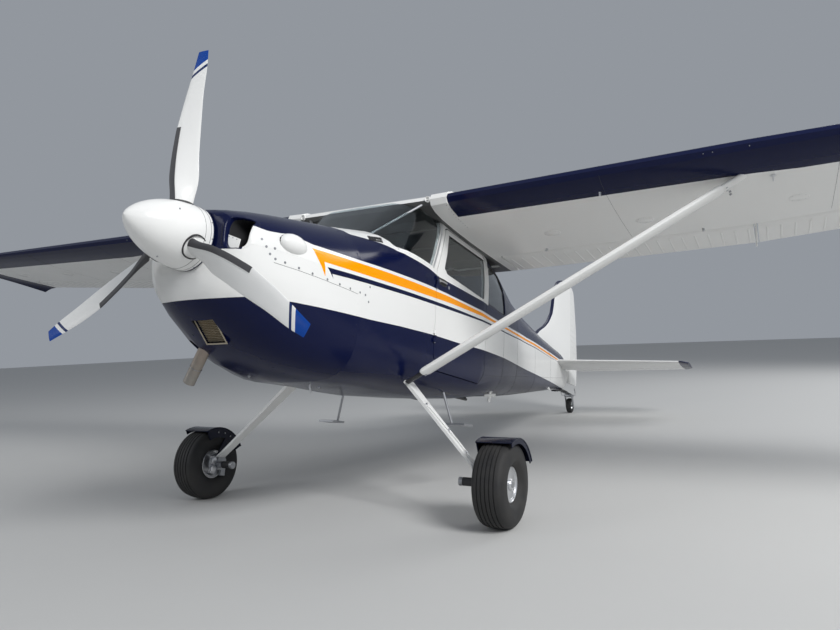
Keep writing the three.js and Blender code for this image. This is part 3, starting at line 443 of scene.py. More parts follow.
def dress(node, material):
    """Gives a CAD node its finish and smooths its shading up to its real edges."""
    node.data.materials.clear()
    node.data.materials.append(material)
    if "custom_normal" in node.data.attributes:
        node.data.attributes.remove(node.data.attributes["custom_normal"])
    for face in node.data.polygons:
        face.use_smooth = True
    weld = node.modifiers.new("weld", "WELD")
    weld.merge_threshold = 0.00002
    split = node.modifiers.new("edges", "EDGE_SPLIT")
    split.split_angle = math.radians(28)
    even = node.modifiers.new("even", "WEIGHTED_NORMAL")
    even.keep_sharp = True


for name, node in nodes.items():
    dress(node, SKINS[name])


# Mesh helpers, all in level metres
def basis(n):
    """Two directions across n."""
    n = Vector(n).normalized()
    u = n.orthogonal().normalized()
    return u, n.cross(u)


def angles(count, start=0.0):
    """Evenly spaced angles round one full turn."""
    return [start + k * math.tau / count for k in range(count)]


def ring(centre, n, radius, sides, u=None):
    """A round loop of points about n, starting in direction u where one is given."""
    n = Vector(n).normalized()
    if u is None:
        u, v = basis(n)
    else:
        u = (Vector(u) - n * Vector(u).dot(n)).normalized()
        v = n.cross(u)
    return [Vector(centre) + u * radius * math.cos(a) + v * radius * math.sin(a) for a in angles(sides)]


def squared(a, wide, tall):
    """Cosine and sine of an angle, squared off towards a rectangle by two powers."""
    c, s = math.cos(a), math.sin(a)
    return math.copysign(abs(c) ** wide, c), math.copysign(abs(s) ** tall, s)


def turned(centre, radius, a, y=0):
    """A point round an axis that runs across the aircraft."""
    return centre + Vector((radius * math.cos(a), y, radius * math.sin(a)))


def skin(rings, ends=True):
    """Joins rings of equal length into one surface."""
    count = len(rings[0])
    verts = [p for r in rings for p in r]
    faces = []
    for i in range(len(rings) - 1):
        for j in range(count):
            a, b = i * count + j, i * count + (j + 1) % count
            faces.append((a, b, b + count, a + count))
    if ends:
        faces.append(tuple(range(count))[::-1])
        faces.append(tuple((len(rings) - 1) * count + j for j in range(count)))
    return verts, faces


def tube(path, radius, sides):
    """A round rod through a path; radius is one number or one for each point."""
    path = [Vector(p) for p in path]
    radii = radius if isinstance(radius, (list, tuple)) else [radius] * len(path)
    rings, side = [], None
    for k, p in enumerate(path):
        n = (path[min(k + 1, len(path) - 1)] - path[max(k - 1, 0)]).normalized()
        side = n.orthogonal() if side is None else side - n * side.dot(n)
        side.normalize()
        rings.append(ring(p, n, radii[k], sides, u=side))
    return skin(rings)


def arc(points, steps=6):
    """A smooth path through a few points."""
    p = [Vector(v) for v in points]
    p = [p[0] * 2 - p[1]] + p + [p[-1] * 2 - p[-2]]
    out = []
    for i in range(1, len(p) - 2):
        for k in range(steps):
            t = k / steps
            out.append(0.5 * ((2 * p[i]) + (p[i + 1] - p[i - 1]) * t
                              + (2 * p[i - 1] - 5 * p[i] + 4 * p[i + 1] - p[i + 2]) * t * t
                              + (3 * p[i] - p[i - 1] - 3 * p[i + 1] + p[i + 2]) * t ** 3))
    return out + [p[-2]]


def lathe(centre, axis, profile, sides):
    """Turns (along, radius) points about an axis through the centre."""
    axis = Vector(axis).normalized()
    return skin([ring(Vector(centre) + axis * a, axis, max(r, 1e-5), sides) for a, r in profile])


def hoop(centre, axis, radius, thick, sides, round_sides):
    """A ring-shaped rod."""
    axis = Vector(axis).normalized()
    u, v = basis(axis)
    verts, faces = [], []
    for a in angles(sides):
        out = u * math.cos(a) + v * math.sin(a)
        for b in angles(round_sides):
            verts.append(Vector(centre) + out * (radius + thick * math.cos(b)) + axis * thick * math.sin(b))
    for i in range(sides):
        for j in range(round_sides):
            a, b = i * round_sides + j, i * round_sides + (j + 1) % round_sides
            c, d = ((i + 1) % sides) * round_sides + j, ((i
                                                          + 1) % sides) * round_sides + (j
                                                                                         + 1) % round_sides
            faces.append((a, c, d, b))
    return verts, faces


BOX_FACES = [(0, 3, 2, 1), (4, 5, 6, 7), (0, 1, 5, 4), (1, 2, 6, 5), (2, 3, 7, 6), (3, 0, 4, 7)]


def block(low, high):
    """A box between two opposite corners."""
    (a, b, c), (d, e, f) = low, high
    corners = ((a, b, c), (d, b, c), (d, e, c), (a, e, c), (a, b, f), (d, b, f), (d, e, f), (a, e, f))
    return [Vector(p) for p in corners], list(BOX_FACES)


def plate(outline, out, thick):
    """A flat sheet with this outline, raised by thick along out."""
    out = Vector(out).normalized() * thick
    low = [Vector(p) for p in outline]
    return skin([low, [p + out for p in low]])


def dome(p, n, radius, height, sides=8):
    """A low round head of a rivet or screw, sitting in the skin."""
    p, n = Vector(p), Vector(n).normalized()
    rings = [ring(p - n * 0.001, n, radius, sides), ring(p + n * height * 0.6, n, radius * 0.86, sides),
             ring(p + n * height, n, radius * 0.35, sides)]
    return skin(rings)


def strip(run, width, height):
    """A raised ribbon that follows touches on a skin: half round, width across."""
    points, normals, rings = [t[0] for t in run], [t[1] for t in run], []
    for k, (p, n) in enumerate(zip(points, normals)):
        p, n = Vector(p), Vector(n).normalized()
        along = (Vector(points[min(k + 1, len(points) - 1)]) - Vector(points[max(k - 1, 0)])).normalized()
        side = along.cross(n).normalized() * width / 2
        rings.append([p - side - n * 0.001, p - side * 0.6 + n * height * 0.8, p + n * height,
                      p + side * 0.6 + n * height * 0.8, p + side - n * 0.001])
    return skin(rings)


def piece(name, body, material, parts, slot=None, replaces=(), bevel=0.0, smooth=35):
    """Joins parts, given in level metres, into one object that rides on a body."""
    slot = slot or SLOTS.get(material, "steel")
    verts, faces = [], []
    for more, more_faces in parts:
        base = len(verts)
        verts += [LEVEL @ Vector(v) for v in more]
        faces += [tuple(i + base for i in f) for f in more_faces]
    mesh = bpy.data.meshes.new(name)
    mesh.from_pydata(verts, [], faces)
    mesh.validate()
    tidy = bmesh.new()
    tidy.from_mesh(mesh)
    bmesh.ops.recalc_face_normals(tidy, faces=tidy.faces)
    tidy.to_mesh(mesh)
    tidy.free()
    mesh.materials.append(material)
    mesh.shade_smooth()
    mesh.set_sharp_from_angle(angle=math.radians(smooth))
    item = bpy.data.objects.new(name, mesh)
    bpy.context.scene.collection.objects.link(item)
    if bevel:
        mod = item.modifiers.new("bevel", "BEVEL")
        mod.width, mod.segments, mod.limit_method = bevel, 2, "ANGLE"
        mod.angle_limit = math.radians(40)
        item.data.shade_flat()
        item.data.shade_smooth()
        item.data.set_sharp_from_angle(angle=math.radians(60))
    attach(item, body)
    if replaces:
        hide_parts(*replaces)


TREES = {}


def tree(name):
    """The node's surface in level metres, for putting details on it."""
    if name not in TREES:
        mesh = nodes[name].data
        verts = [TO_LEVEL @ v.co for v in mesh.vertices]
        TREES[name] = BVHTree.FromPolygons(verts, [tuple(p.vertices) for p in mesh.polygons])
    return TREES[name]


def land(names, start, way, reach=3.0):
    """Where a ray meets the nearest of the named nodes: the place and its normal, or None."""
    found = touch(names, start, way, reach)
    return found[:2] if found else None


def touch(names, start, way, reach=3.0):
    """As land, with the name of the node that the ray meets."""
    best = None
    for name in ([names] if isinstance(names, str) else names):
        hit = tree(name).ray_cast(Vector(start), Vector(way).normalized(), reach)
        if hit[0] is not None and (best is None or hit[3] < best[2]):
            normal = hit[1] if hit[1].dot(Vector(way)) < 0 else -hit[1]
            best = (hit[0], normal, hit[3], name)
    return (best[0], best[1], best[3]) if best else None


def body_of(name):
    """The body that a node rides on, for nodes that are bodies or parts of the airframe."""
    return name if name in frame["bodies"] else "airframe"


def studded(label, material, touches, radius=0.0026, height=0.0008):
    """One piece of small round heads for each body that the touches fall on."""
    groups = {}
    for t in touches:
        if t:
            groups.setdefault(body_of(t[2]), []).append(dome(t[0], t[1], radius, height, 6))
    for body, domes in groups.items():
        piece(f"{label}_{body}", body, material, domes)


def bead(run, width, height):
    """A pressed bead over the touches that met the skin, or none where they are few."""
    run = [t for t in run if t]
    return [strip(run, width, height)] if len(run) > 3 else []


def side_on(names, x, z, sign=1):
    """A place on a side skin, seen from outboard."""
    return land(names, (x, sign * 1.5, z), (0, -sign, 0))


FUSELAGE = ["cabin_shell", "cowl_upper", "cowl_lower", "tail_cone", "door_left", "door_right"]
COWL = ["cowl_upper", "cowl_lower"]
DARK_SCREW = metal("screw_metal", (0.30, 0.31, 0.33, 1), 0.4)
TRIM = plain_paint("white_trim", WHITE)
# Near-black strips for joints and laps: the dark of the cowl's joint, and painted shadow along the steps of
# the skin laps
SEAM_SHADOW = trim("seam_shadow", (0.03, 0.03, 0.035, 1), 0.8)
# Each finish's slot name; piece looks a finish up here (steel for other finishes, unless a piece names its
# slot) but does not keep the slot
SLOTS = {BLACK: "trim_black", SEAM_SHADOW: "trim_black", NAVY_PAINT: "navy_paint", FENDER_PAINT: "navy_paint",
         ALUMINIUM: "aluminium", RUBBER: "rubber", BRASS: "filter_frame"}
SLOTS |= dict.fromkeys((WHITE_PAINT, PAINT, WING, FIN, STAB, LEG, PROPELLER, TRIM), "white_paint")


# Wheels
TYRE_SIDES = 96


def tyre(centre, radius, width, inner, grooves):
    """A ribbed tyre: sidewall, shoulder and a tread with narrow grooves all the way round."""
    cx, cy, cz = centre
    half, rise = width / 2, radius - inner
    side = [(-half * 0.62, inner), (-half * 0.80, inner + rise * 0.10), (-half * 0.93, inner + rise * 0.24),
            (-half * 0.945, inner + rise * 0.26), (-half * 0.985, inner + rise * 0.36),
            (-half, inner + rise * 0.48), (-half * 0.985, radius * 0.80), (-half * 0.95, radius * 0.86),
            (-half * 0.90, radius * 0.905), (-half * 0.82, radius * 0.945)]
    edge, cut, depth = half * 0.76, half * 0.022, radius * 0.022
    crown = lambda y: radius * (1 - 0.035 * (abs(y) / edge) ** 2.6)
    tread = []
    for k in range(grooves + 1):
        a = -edge + 2 * edge * k / (grooves + 1)
        b = -edge + 2 * edge * (k + 1) / (grooves + 1)
        tread += [(a + cut, crown(a) - depth), (a + cut * 1.6, crown(a + cut * 1.6)),
                  ((a + b) / 2, crown((a + b) / 2)), (b - cut * 1.6, crown(b - cut * 1.6)),
                  (b - cut, crown(b) - depth)]
    tread[0], tread[-1] = (-edge, radius * 0.963), (edge, radius * 0.963)
    profile = side + tread + [(-a, r) for a, r in reversed(side)]
    rings = [ring((cx, cy + a, cz), (0, 1, 0), r, TYRE_SIDES, u=(1, 0, 0)) for a, r in profile]
    verts, faces = skin(rings, ends=False)
    last = len(verts) - TYRE_SIDES
    for j in range(TYRE_SIDES):
        k = (j + 1) % TYRE_SIDES
        faces.append((j, last + j, last + k, k))
    return verts, faces


for side, sign in SIDES:
    centre = Vector((-0.612, sign * 1.165, -1.158))
    piece(f"tyre_tread_{side}", f"wheel_{side}", RUBBER, [tyre(centre, 0.250, 0.196, 0.1005, 5)],
          replaces=[f"tyre_{side}"], smooth=32)
    out = Vector((0, sign, 0))
    wheel = [hoop(centre + out * 0.060, out, 0.098, 0.0065, 64, 10),
             hoop(centre - out * 0.060, out, 0.098, 0.0065, 64, 10),
             lathe(centre, out, [(0.058, 0.094), (0.050, 0.088), (0.028, 0.080), (0.026, 0.060),
                                 (0.030, 0.047), (0.044, 0.044), (0.052, 0.040), (0.054, 0.030),
                                 (0.056, 0.0)], 48),
             lathe(centre, out, [(0.040, 0.034), (0.066, 0.033), (0.072, 0.028), (0.073, 0.0)], 40)]
    bolts = []
    for a in angles(6, 0.3):
        spot = turned(centre, 0.068, a) + out * 0.0275
        bolts += [lathe(spot, out, [(0, 0.0085), (0.009, 0.0085), (0.010, 0.0070), (0.010, 0.0)], 6),
                  lathe(spot, out, [(0, 0.0045), (0.015, 0.0045), (0.016, 0.0)], 10)]
    for a in angles(3):
        spot = turned(centre, 0.0295, a) + out * 0.0715
        bolts.append(lathe(spot, out, [(0, 0.003), (0.002, 0.003), (0.003, 0.0)], 8))
    valve = centre + Vector((0.083, 0, 0.02)) + out * 0.035
    bolts.append(tube([valve, valve + out * 0.022], 0.004, 8))
    piece(f"wheel_face_{side}", f"wheel_{side}", ALUMINIUM, wheel, smooth=30)
    piece(f"wheel_bolts_{side}", f"wheel_{side}", STEEL, bolts, smooth=30)
    disc = [lathe(centre - out * 0.1012, out, [(0, 0.034), (0, 0.078), (0.004, 0.079), (0.004, 0.034)], 56)]
    piece(f"brake_disc_{side}", f"wheel_{side}", STEEL, disc, smooth=30)
    # brake cylinders and caliper, the axle's sleeve and cap, the hose and its clamps on the leg
    brake = [lathe(centre + Vector((0.062, 0, z)) - out * 0.112, -out,
                   [(0, 0.026), (0.026, 0.026), (0.030, 0.022), (0.031, 0.0)], 24) for z in (0.028, -0.032)]
    brake.append(block(centre + Vector((0.036, -0.006, -0.064)) - out * 0.116,
                       centre + Vector((0.090, 0.006, 0.058)) - out * 0.116))
    for a, b in ((0.045, 0.052), (0.083, 0.052), (0.045, -0.056), (0.083, -0.056)):
        brake.append(lathe(centre + Vector((a, 0, b)) - out * 0.120, -out,
                           [(0, 0.006), (0.012, 0.006), (0.013, 0.0)], 6))
    piece(f"brake_caliper_{side}", "airframe", ALUMINIUM, brake, bevel=0.0015)
    sleeve = [lathe(centre - out * 0.238, out, [(0, 0.0245), (0.001, 0.0255), (0.070, 0.0255),
                                                (0.071, 0.0235)], 28)]
    piece(f"axle_sleeve_{side}", "airframe", BLACK, sleeve)
    knurl = [lathe(centre - out * 0.2635, out, [(0, 0.0), (0, 0.010), (0.0015, 0.011), (0.0015, 0.0)], 6),
             hoop(centre - out * 0.253, out, 0.0258, 0.0014, 28, 6)]
    piece(f"axle_cap_{side}", "airframe", STEEL, knurl)
    leg = [Vector((x, sign * y, z)) for x, y, z in ((-0.640, 0.640, -0.7), (-0.640, 0.80, -0.862),
                                                    (-0.625, 0.93, -0.988))]
    behind = [b for b in (land(f"gear_leg_{side}", p + Vector((0, sign * 0.2, 0.2)), (0, -sign, -1))
                          for p in leg) if b]
    on_leg = [b[0] + b[1] * 0.006 for b in behind]
    hose = arc(on_leg + [centre + Vector((0.058, -sign * 0.150, 0.058))], 8)
    piece(f"brake_hose_{side}", "airframe", LEG, [tube(hose, 0.004, 8)])
    clamps = [lathe(b[0], b[1], [(-0.001, 0.010), (0.011, 0.010), (0.013, 0.007), (0.013, 0.0)], 12)
              for b in behind]
    piece(f"hose_clamps_{side}", "airframe", ALUMINIUM, clamps)
    # fender bolts and rolled edge
    bolt_spots = [lathe(turned(centre, 0.232, math.radians(a), -sign * 0.110), (0, -sign, 0),
                        [(0, 0.006), (0.004, 0.006), (0.0055, 0.004), (0.0055, 0.0)], 8)
                  for a in (84, 100, 116, 132)]
    piece(f"fender_bolts_{side}", "airframe", STEEL, bolt_spots)
    rolled = [tube([turned(centre, 0.2655, math.radians(60 + 88 * k / 24), y) for k in range(25)], 0.0042, 8)
              for y in (-0.110, 0.110)]
    rolled += [tube([turned(centre, 0.2665, math.radians(a), y) for y in (-0.110, 0.110)], 0.0042, 8)
               for a in (60, 148)]
    piece(f"fender_edge_{side}", "airframe", FENDER_PAINT, rolled)

tail_centre = Vector((-6.270, 0, -0.213))
piece("tail_tyre_tread", "tail_wheel", RUBBER, [tyre(tail_centre, 0.102, 0.070, 0.0525, 3)],
      replaces=["tail_tyre"], smooth=32)
tail_hub = []
for sign in (1, -1):
    out = Vector((0, sign, 0))
    tail_hub.append(hoop(tail_centre + out * 0.0235, out, 0.0505, 0.003, 40, 8))
    for a in angles(4):
        spot = turned(tail_centre, 0.026, a) + out * 0.011
        tail_hub.append(lathe(spot, out, [(0, 0.005), (0.010, 0.005), (0.011, 0.0)], 6))
piece("tail_wheel_bolts", "tail_wheel", STEEL, tail_hub)


# Propeller and spinner
HUB = Vector((PROPELLER_X, 0, 0))
SPINNER_TIP, SPINNER_REAR, SPINNER_R = 1.246, 0.846, 0.171
# radius, chord, thickness, pitch in degrees, forward set
BLADE_TABLE = ((0.110, 0.104, 0.090, 62, 0), (0.200, 0.116, 0.060, 50, -0.002),
               (0.300, 0.150, 0.030, 32, 0.002), (0.420, 0.145, 0.024, 22, 0.013),
               (0.580, 0.143, 0.018, 13, 0.018), (0.760, 0.114, 0.013, 7, 0.013),
               (0.920, 0.089, 0.009, 4, -0.002), (1.0155, 0.066, 0.006, 3, -0.006))


def along_table(rows, at):
    """The rows' values at one place, on straight lines between rows."""
    for a, b in zip(rows, rows[1:]):
        if at <= b[0]:
            t = max(0.0, min(1.0, (at - a[0]) / (b[0] - a[0])))
            return [p + (q - p) * t for p, q in zip(a, b)]
    return list(rows[-1])


def smooth_row(rows, at, reach=0.035):
    """The table's values at a radius, eased over its corners."""
    samples = [along_table(rows, min(max(at + d * reach, rows[0][0]), rows[-1][0]))
               for d in (-1, -0.5, 0, 0.5, 1)]
    return [sum(c) / len(samples) for c in zip(*samples)]


def blade_frame(r):
    """Chord, thickness, pitch in radians and forward set at a radius."""
    read = smooth_row if 0.13 < r < 0.985 else along_table
    _, chord, thick, pitch, lead = read(BLADE_TABLE, r)
    return chord, thick, math.radians(pitch), lead


def blade_place(r, u, v, turn):
    """A point of a blade: u runs along the chord, v through the thickness."""
    _, _, p, lead = blade_frame(r)
    x = PROPELLER_X + (u + lead) * math.sin(p) + v * math.cos(p)
    y = -(u + lead) * math.cos(p) + v * math.sin(p)
    return Vector((x, y * math.cos(turn) - r * math.sin(turn), y * math.sin(turn) + r * math.cos(turn)))


def blade_ring(r, turn, points=32):
    """A blade's section at a radius."""
    chord, thick, _, _ = blade_frame(r)
    round_share = max(0.0, min(1.0, (0.24 - r) / 0.10))
    out = []
    for a in angles(points):
        c, s = math.cos(a), math.sin(a)
        # an airfoil: blunt at the leading edge, thin behind, the face side flatter
        fat = (1 - 0.42 * (1 - c) * 0.5) * (1.0 if s > 0 else 0.72)
        body = thick / 2 * s * (fat * (1 - round_share) + round_share) * (abs(s) ** 0.12 if s else 1)
        out.append(blade_place(r, chord / 2 * c, body, turn))
    return out


def spinner_share(t):
    """The spinner's radius at a share of its length."""
    return SPINNER_R * (1 - t ** 2.2) ** 0.7


def spinner_radius(x):
    """The spinner's radius at a place along its axis."""
    return spinner_share((x - SPINNER_REAR) / (SPINNER_TIP - SPINNER_REAR))


def land_on_spinner(p):
    """The point of the spinner's skin straight out from its axis through p."""
    out = Vector((0, p.y, p.z)).normalized()
    return Vector((p.x, 0, 0)) + out * spinner_radius(p.x)


profile = [(SPINNER_REAR + k / 40 * (SPINNER_TIP - SPINNER_REAR), spinner_share(k / 40) * 0.998)
           for k in range(41)]
spinner = [lathe((0, 0, 0), (1, 0, 0), [(SPINNER_REAR, 0.0), (SPINNER_REAR, 0.150)] + profile, 96)]
blades, strips, seams, sockets, screws = [], [], [], [], []
for turn in angles(3, math.radians(-1)):
    radii = [0.095 + 0.0225 * j for j in range(40)] + [0.995, 1.005, 1.0105, 1.0145]
    rings = [blade_ring(r, turn) for r in radii]
    tip = blade_ring(1.0155, turn)
    middle = sum(tip, Vector()) / len(tip)
    rings.append([middle + (p - middle) * 0.86 for p in tip])
    blades.append(skin(rings))
    # dark strip on the inboard leading edge, front and back
    strip_radii = [0.162 + 0.02 * j for j in range(22)]
    path = []
    for r in strip_radii:
        chord, thick, _, _ = blade_frame(r)
        loop = []
        for a in (math.radians(d) for d in range(-54, 55, 12)):
            c, s = math.cos(a), math.sin(a)
            through = thick / 2 * s * (0.98 if s > 0 else 0.75) + 0.0012 * s
            loop.append(blade_place(r, (chord / 2) * c + 0.0012 * c, through, turn))
        path.append(loop)
    inner = []
    for ring_now, r in zip(path, strip_radii):
        core = blade_place(r, blade_frame(r)[0] * 0.30, 0, turn)
        inner.append([core + (p - core) * 0.975 for p in ring_now])
    strips.append(skin([a + b[::-1] for a, b in zip(path, inner)]))
    # the socket of the blade's root in the spinner, and a screw beside it
    out = Vector((0, -math.sin(turn), math.cos(turn)))
    base = HUB + out * 0.138
    side_way = Vector((0, math.cos(turn), math.sin(turn)))
    spot = land_on_spinner(Vector((1.038, 0, 0)) + out * 0.062 - side_way * 0.13)
    screws.append(lathe(spot, Vector((0.55, spot.y, spot.z)), [(-0.001, 0.0052), (0.0012, 0.0052),
                                                               (0.002, 0.004), (0.001, 0.0)], 14))
    sockets.append(lathe(base, out, [(0.0, 0.0), (0.0, 0.068), (0.024, 0.065), (0.025, 0.061),
                                     (0.016, 0.058), (0.016, 0.0)], 48))
band = [lathe((0, 0, 0), (1, 0, 0), [(0.8462, SPINNER_R * 0.9975), (0.8462, SPINNER_R * 1.002),
                                     (0.853, SPINNER_R * 1.001), (0.853, SPINNER_R * 0.99)], 96)]
piece("spinner_band", "propeller", NAVY_PAINT, band)
for x in (0.868, 0.9015):
    seams.append(hoop((x, 0, 0), (1, 0, 0), spinner_radius(x) - 0.0006, 0.0012, 96, 6))
x, r = 0.857, spinner_radius(0.857)
for a in angles(12, 0.12):
    out = Vector((0.02, math.sin(a), math.cos(a)))
    screws.append(dome(Vector((x, r * math.sin(a), r * math.cos(a))), out, 0.0042, 0.0012, 10))
shaft = [lathe((0, 0, 0), (1, 0, 0), [(0.6205, 0.0), (0.6205, 0.055), (0.850, 0.055), (0.850, 0.0)], 40),
         lathe((0, 0, 0), (1, 0, 0), [(0.838, 0.0), (0.838, 0.150), (0.847, 0.160), (0.847, 0.0)], 64)]
piece("propeller_blades", "propeller", PROPELLER, blades, replaces=["propeller"], smooth=50)
piece("spinner", "propeller", WHITE_PAINT, spinner, smooth=40)
piece("propeller_shaft", "propeller", STEEL, shaft)
STRIP = trim("blade_strip", (0.045, 0.045, 0.05, 1), 0.6)
piece("blade_strips", "propeller", STRIP, strips, slot="trim_black", smooth=60)
piece("spinner_seams", "propeller", BLACK, seams)
piece("blade_sockets", "propeller", BLACK, sockets)
piece("spinner_screws", "propeller", DARK_SCREW, screws)

# Cowl
INLET_Y, INLET_Z = 0.282, 0.018


def inlet_loop(sign, half, tall, height, sides=64):
    """A squarish ring in the opening's plane: half width, half height and the height of its middle."""
    loop = []
    for a in angles(sides):
        c, s = squared(a, 0.625, 0.625)
        loop.append((sign * (INLET_Y + half * c), height + tall * s))
    return loop


# distance forward, half width, top, middle, bottom and the squareness of both halves
COWL_SHAPE = (
    (0.838, 0.235, 0.152, -0.005, -0.222, 2.0, 2.0), (0.818, 0.300, 0.166, -0.010, -0.292, 2.1, 2.2),
    (0.760, 0.364, 0.186, -0.020, -0.356, 2.1, 2.4), (0.640, 0.415, 0.220, -0.030, -0.440, 2.1, 2.5))


def cowl_front(y, z):
    """How far forward the cowl's skin lies at this side and height."""
    low, high = COWL_SHAPE[-1][0], COWL_SHAPE[0][0]
    for _ in range(24):
        x = (low + high) / 2
        a, b = next((a, b) for a, b in zip(COWL_SHAPE, COWL_SHAPE[1:]) if a[0] >= x >= b[0])
        t = (a[0] - x) / (a[0] - b[0])
        half, top, mid, bottom, upper, lower = [p + (q - p) * t for p, q in zip(a[1:], b[1:])]
        reach, power = (top - mid, upper) if z >= mid else (mid - bottom, lower)
        if (abs(y) / half) ** power + (abs(z - mid) / reach) ** power <= 1:
            low = x
        else:
            high = x
    return low


def cowl_out(y, z, step=0.004):
    """The skin's direction there."""
    slope_y = (cowl_front(y + step, z) - cowl_front(y - step, z)) / (2 * step)
    slope_z = (cowl_front(y, z + step) - cowl_front(y, z - step)) / (2 * step)
    return Vector((1, -slope_y, -slope_z)).normalized()


lips, ducts, vanes, vane_rivets, fins = [], [], [], [], []
# half width, half height, middle height, stand above the skin and set back, from the outer edge inwards
LIP_ROWS = ((0.0715, 0.0895, 0.018, -0.002, 0.0), (0.069, 0.087, 0.018, 0.0012, 0.0),
            (0.064, 0.0865, 0.019, 0.0018, 0.0), (0.058, 0.086, 0.020, 0.0008, 0.0),
            (0.054, 0.0855, 0.021, -0.002, 0.004), (0.052, 0.085, 0.022, -0.004, 0.012),
            (0.0515, 0.085, 0.022, -0.006, 0.024))
for _, sign in SIDES:
    rings = []
    for half, tall, height, proud, back in LIP_ROWS:
        rings.append([Vector((cowl_front(y, z) - back, y, z)) + cowl_out(y, z) * proud
                      for y, z in inlet_loop(sign, half, tall, height)])
    lips.append(skin(rings, ends=False))
    front = rings[-1]
    back = [Vector((0.645, sign * (INLET_Y + (abs(p.y) - INLET_Y) * 0.9), p.z)) for p in front]
    ducts.append(skin([front, [a + (b - a) * 0.5 for a, b in zip(front, back)], back], ends=False))
    # cooling fins of the cylinder behind the opening
    for k in range(9):
        z = INLET_Z - 0.062 + 0.0155 * k
        fins.append(block((0.630, sign * INLET_Y - 0.052, z), (0.668, sign * INLET_Y + 0.052, z + 0.005)))
    # the vane across the lower inboard part of the opening
    low = [Vector((0.814, sign * 0.226, -0.062)), Vector((0.795, sign * 0.286, -0.066)),
           Vector((0.790, sign * 0.292, -0.012)), Vector((0.812, sign * 0.226, 0.014))]
    vanes.append(plate(low, (-1, sign * 0.2, 0.1), 0.004))
    edge_a, edge_b = low[3], low[2]
    for t in (0.12, 0.42, 0.72):
        p = edge_a + (edge_b - edge_a) * t + Vector((0.0, 0, -0.008))
        vane_rivets.append(dome(p, (1, 0, 0), 0.0035, 0.002))
piece("inlet_lips", "airframe", PAINT, lips, slot="navy_paint", smooth=60)
piece("inlet_ducts", "airframe", BLACK, ducts)
piece("cylinder_fins", "airframe", ENGINE, fins, slot="engine_metal")
piece("inlet_vanes", "airframe", TRIM, vanes, bevel=0.001)
piece("vane_rivets", "airframe", STEEL, vane_rivets)

# Air filter: a frame with a folded element behind it, in place of the solid's plain box
FILTER_X, FILTER_Z, FILTER_W, FILTER_H, FILTER_D = 0.632, -0.440, 0.150, 0.165, 0.070
slope = math.radians(45)
f_out = Vector((math.cos(slope), 0, -math.sin(slope)))
f_up = Vector((math.sin(slope), 0, math.cos(slope)))
f_mid = Vector((FILTER_X, 0, FILTER_Z))


def filter_block(y0, y1, u0, u1, d0, d1):
    """A box in the filter's own axes: across, up its face and out of it."""
    corners = []
    for d, u, y in ((d0, u0, y0), (d1, u0, y0), (d1, u0, y1), (d0, u0, y1), (d0, u1, y0), (d1, u1, y0),
                    (d1, u1, y1), (d0, u1, y1)):
        corners.append(f_mid + f_out * d + f_up * u + Vector((0, y, 0)))
    return corners, list(BOX_FACES)


hw, hh, hd, rim_w = FILTER_W / 2, FILTER_H / 2, FILTER_D / 2, 0.009


def filter_rim(inner, back, front):
    """Four walls round the filter's opening, between two depths."""
    return [filter_block(-hw, -hw + inner, -hh, hh, back, front),
            filter_block(hw - inner, hw, -hh, hh, back, front),
            filter_block(-hw + inner, hw - inner, -hh, -hh + inner, back, front),
            filter_block(-hw + inner, hw - inner, hh - inner, hh, back, front)]


FACE = 0.002
piece("filter_frame", "airframe", BRASS, filter_rim(rim_w, FACE - 0.003, FACE),
      replaces=["air_filter"], bevel=0.0008)
piece("filter_box", "airframe", NAVY_PAINT, filter_rim(0.004, -hd, FACE - 0.003))
span = FILTER_W - 2 * rim_w
zig = [(-span / 2 + span * k / 24, FACE - 0.020 - (0.010 if k % 2 else 0.0)) for k in range(25)]
ends = [(span / 2, -hd + 0.01), (-span / 2, -hd + 0.01)]
rows = [[f_mid + f_out * d + f_up * u + Vector((0, y, 0)) for y, d in zig + ends]
        for u in (-hh + rim_w, hh - rim_w)]
piece("filter_folds", "airframe", trim("filter_paper", (0.150, 0.095, 0.035, 1), 0.9), [skin(rows)],
      slot="filter_frame")
mesh_wires = []
for k in range(1, 14):
    y = -span / 2 + span * k / 14
    mesh_wires.append(filter_block(y - 0.0006, y + 0.0006, -hh + rim_w, hh - rim_w, FACE - 0.011,
                                   FACE - 0.0098))
    u = -(hh - rim_w) + 2 * (hh - rim_w) * k / 14
    mesh_wires.append(filter_block(-span / 2, span / 2, u - 0.0006, u + 0.0006, FACE - 0.0098, FACE - 0.0086))
for y in (-hw + rim_w / 2, hw - rim_w / 2):
    for u in (-hh + rim_w / 2, 0, hh - rim_w / 2):
        spot = f_mid + f_out * FACE + f_up * u + Vector((0, y, 0))
        mesh_wires.append(lathe(spot - f_out * 0.002, f_out, [(0, 0.0045), (0.0028, 0.0045), (0.004, 0.003),
                                                              (0.004, 0)], 12))
piece("filter_mesh", "airframe", BRASS, mesh_wires)

# Exhaust pipe with an open end
top, foot = Vector((0.471, -0.166, -0.447)), Vector((0.429, -0.330, -0.683))
way = (foot - top).normalized()
length = (foot - top).length
PIPE_R = 0.034
pipe = [lathe(top, way, [(0.0, PIPE_R), (length - 0.012, PIPE_R), (length - 0.010, PIPE_R + 0.0007),
                         (length, PIPE_R + 0.0007), (length, PIPE_R - 0.002),
                         (length - 0.12, PIPE_R - 0.003), (length - 0.12, 0.0)], 48)]
piece("exhaust_end", "airframe", PIPE, pipe, slot="exhaust_metal", replaces=["exhaust_pipe"], smooth=40)
hanger = [hoop(top + way * 0.19, way, PIPE_R + 0.001, 0.002, 40, 8)]
piece("exhaust_clamp", "airframe", STEEL, hanger)

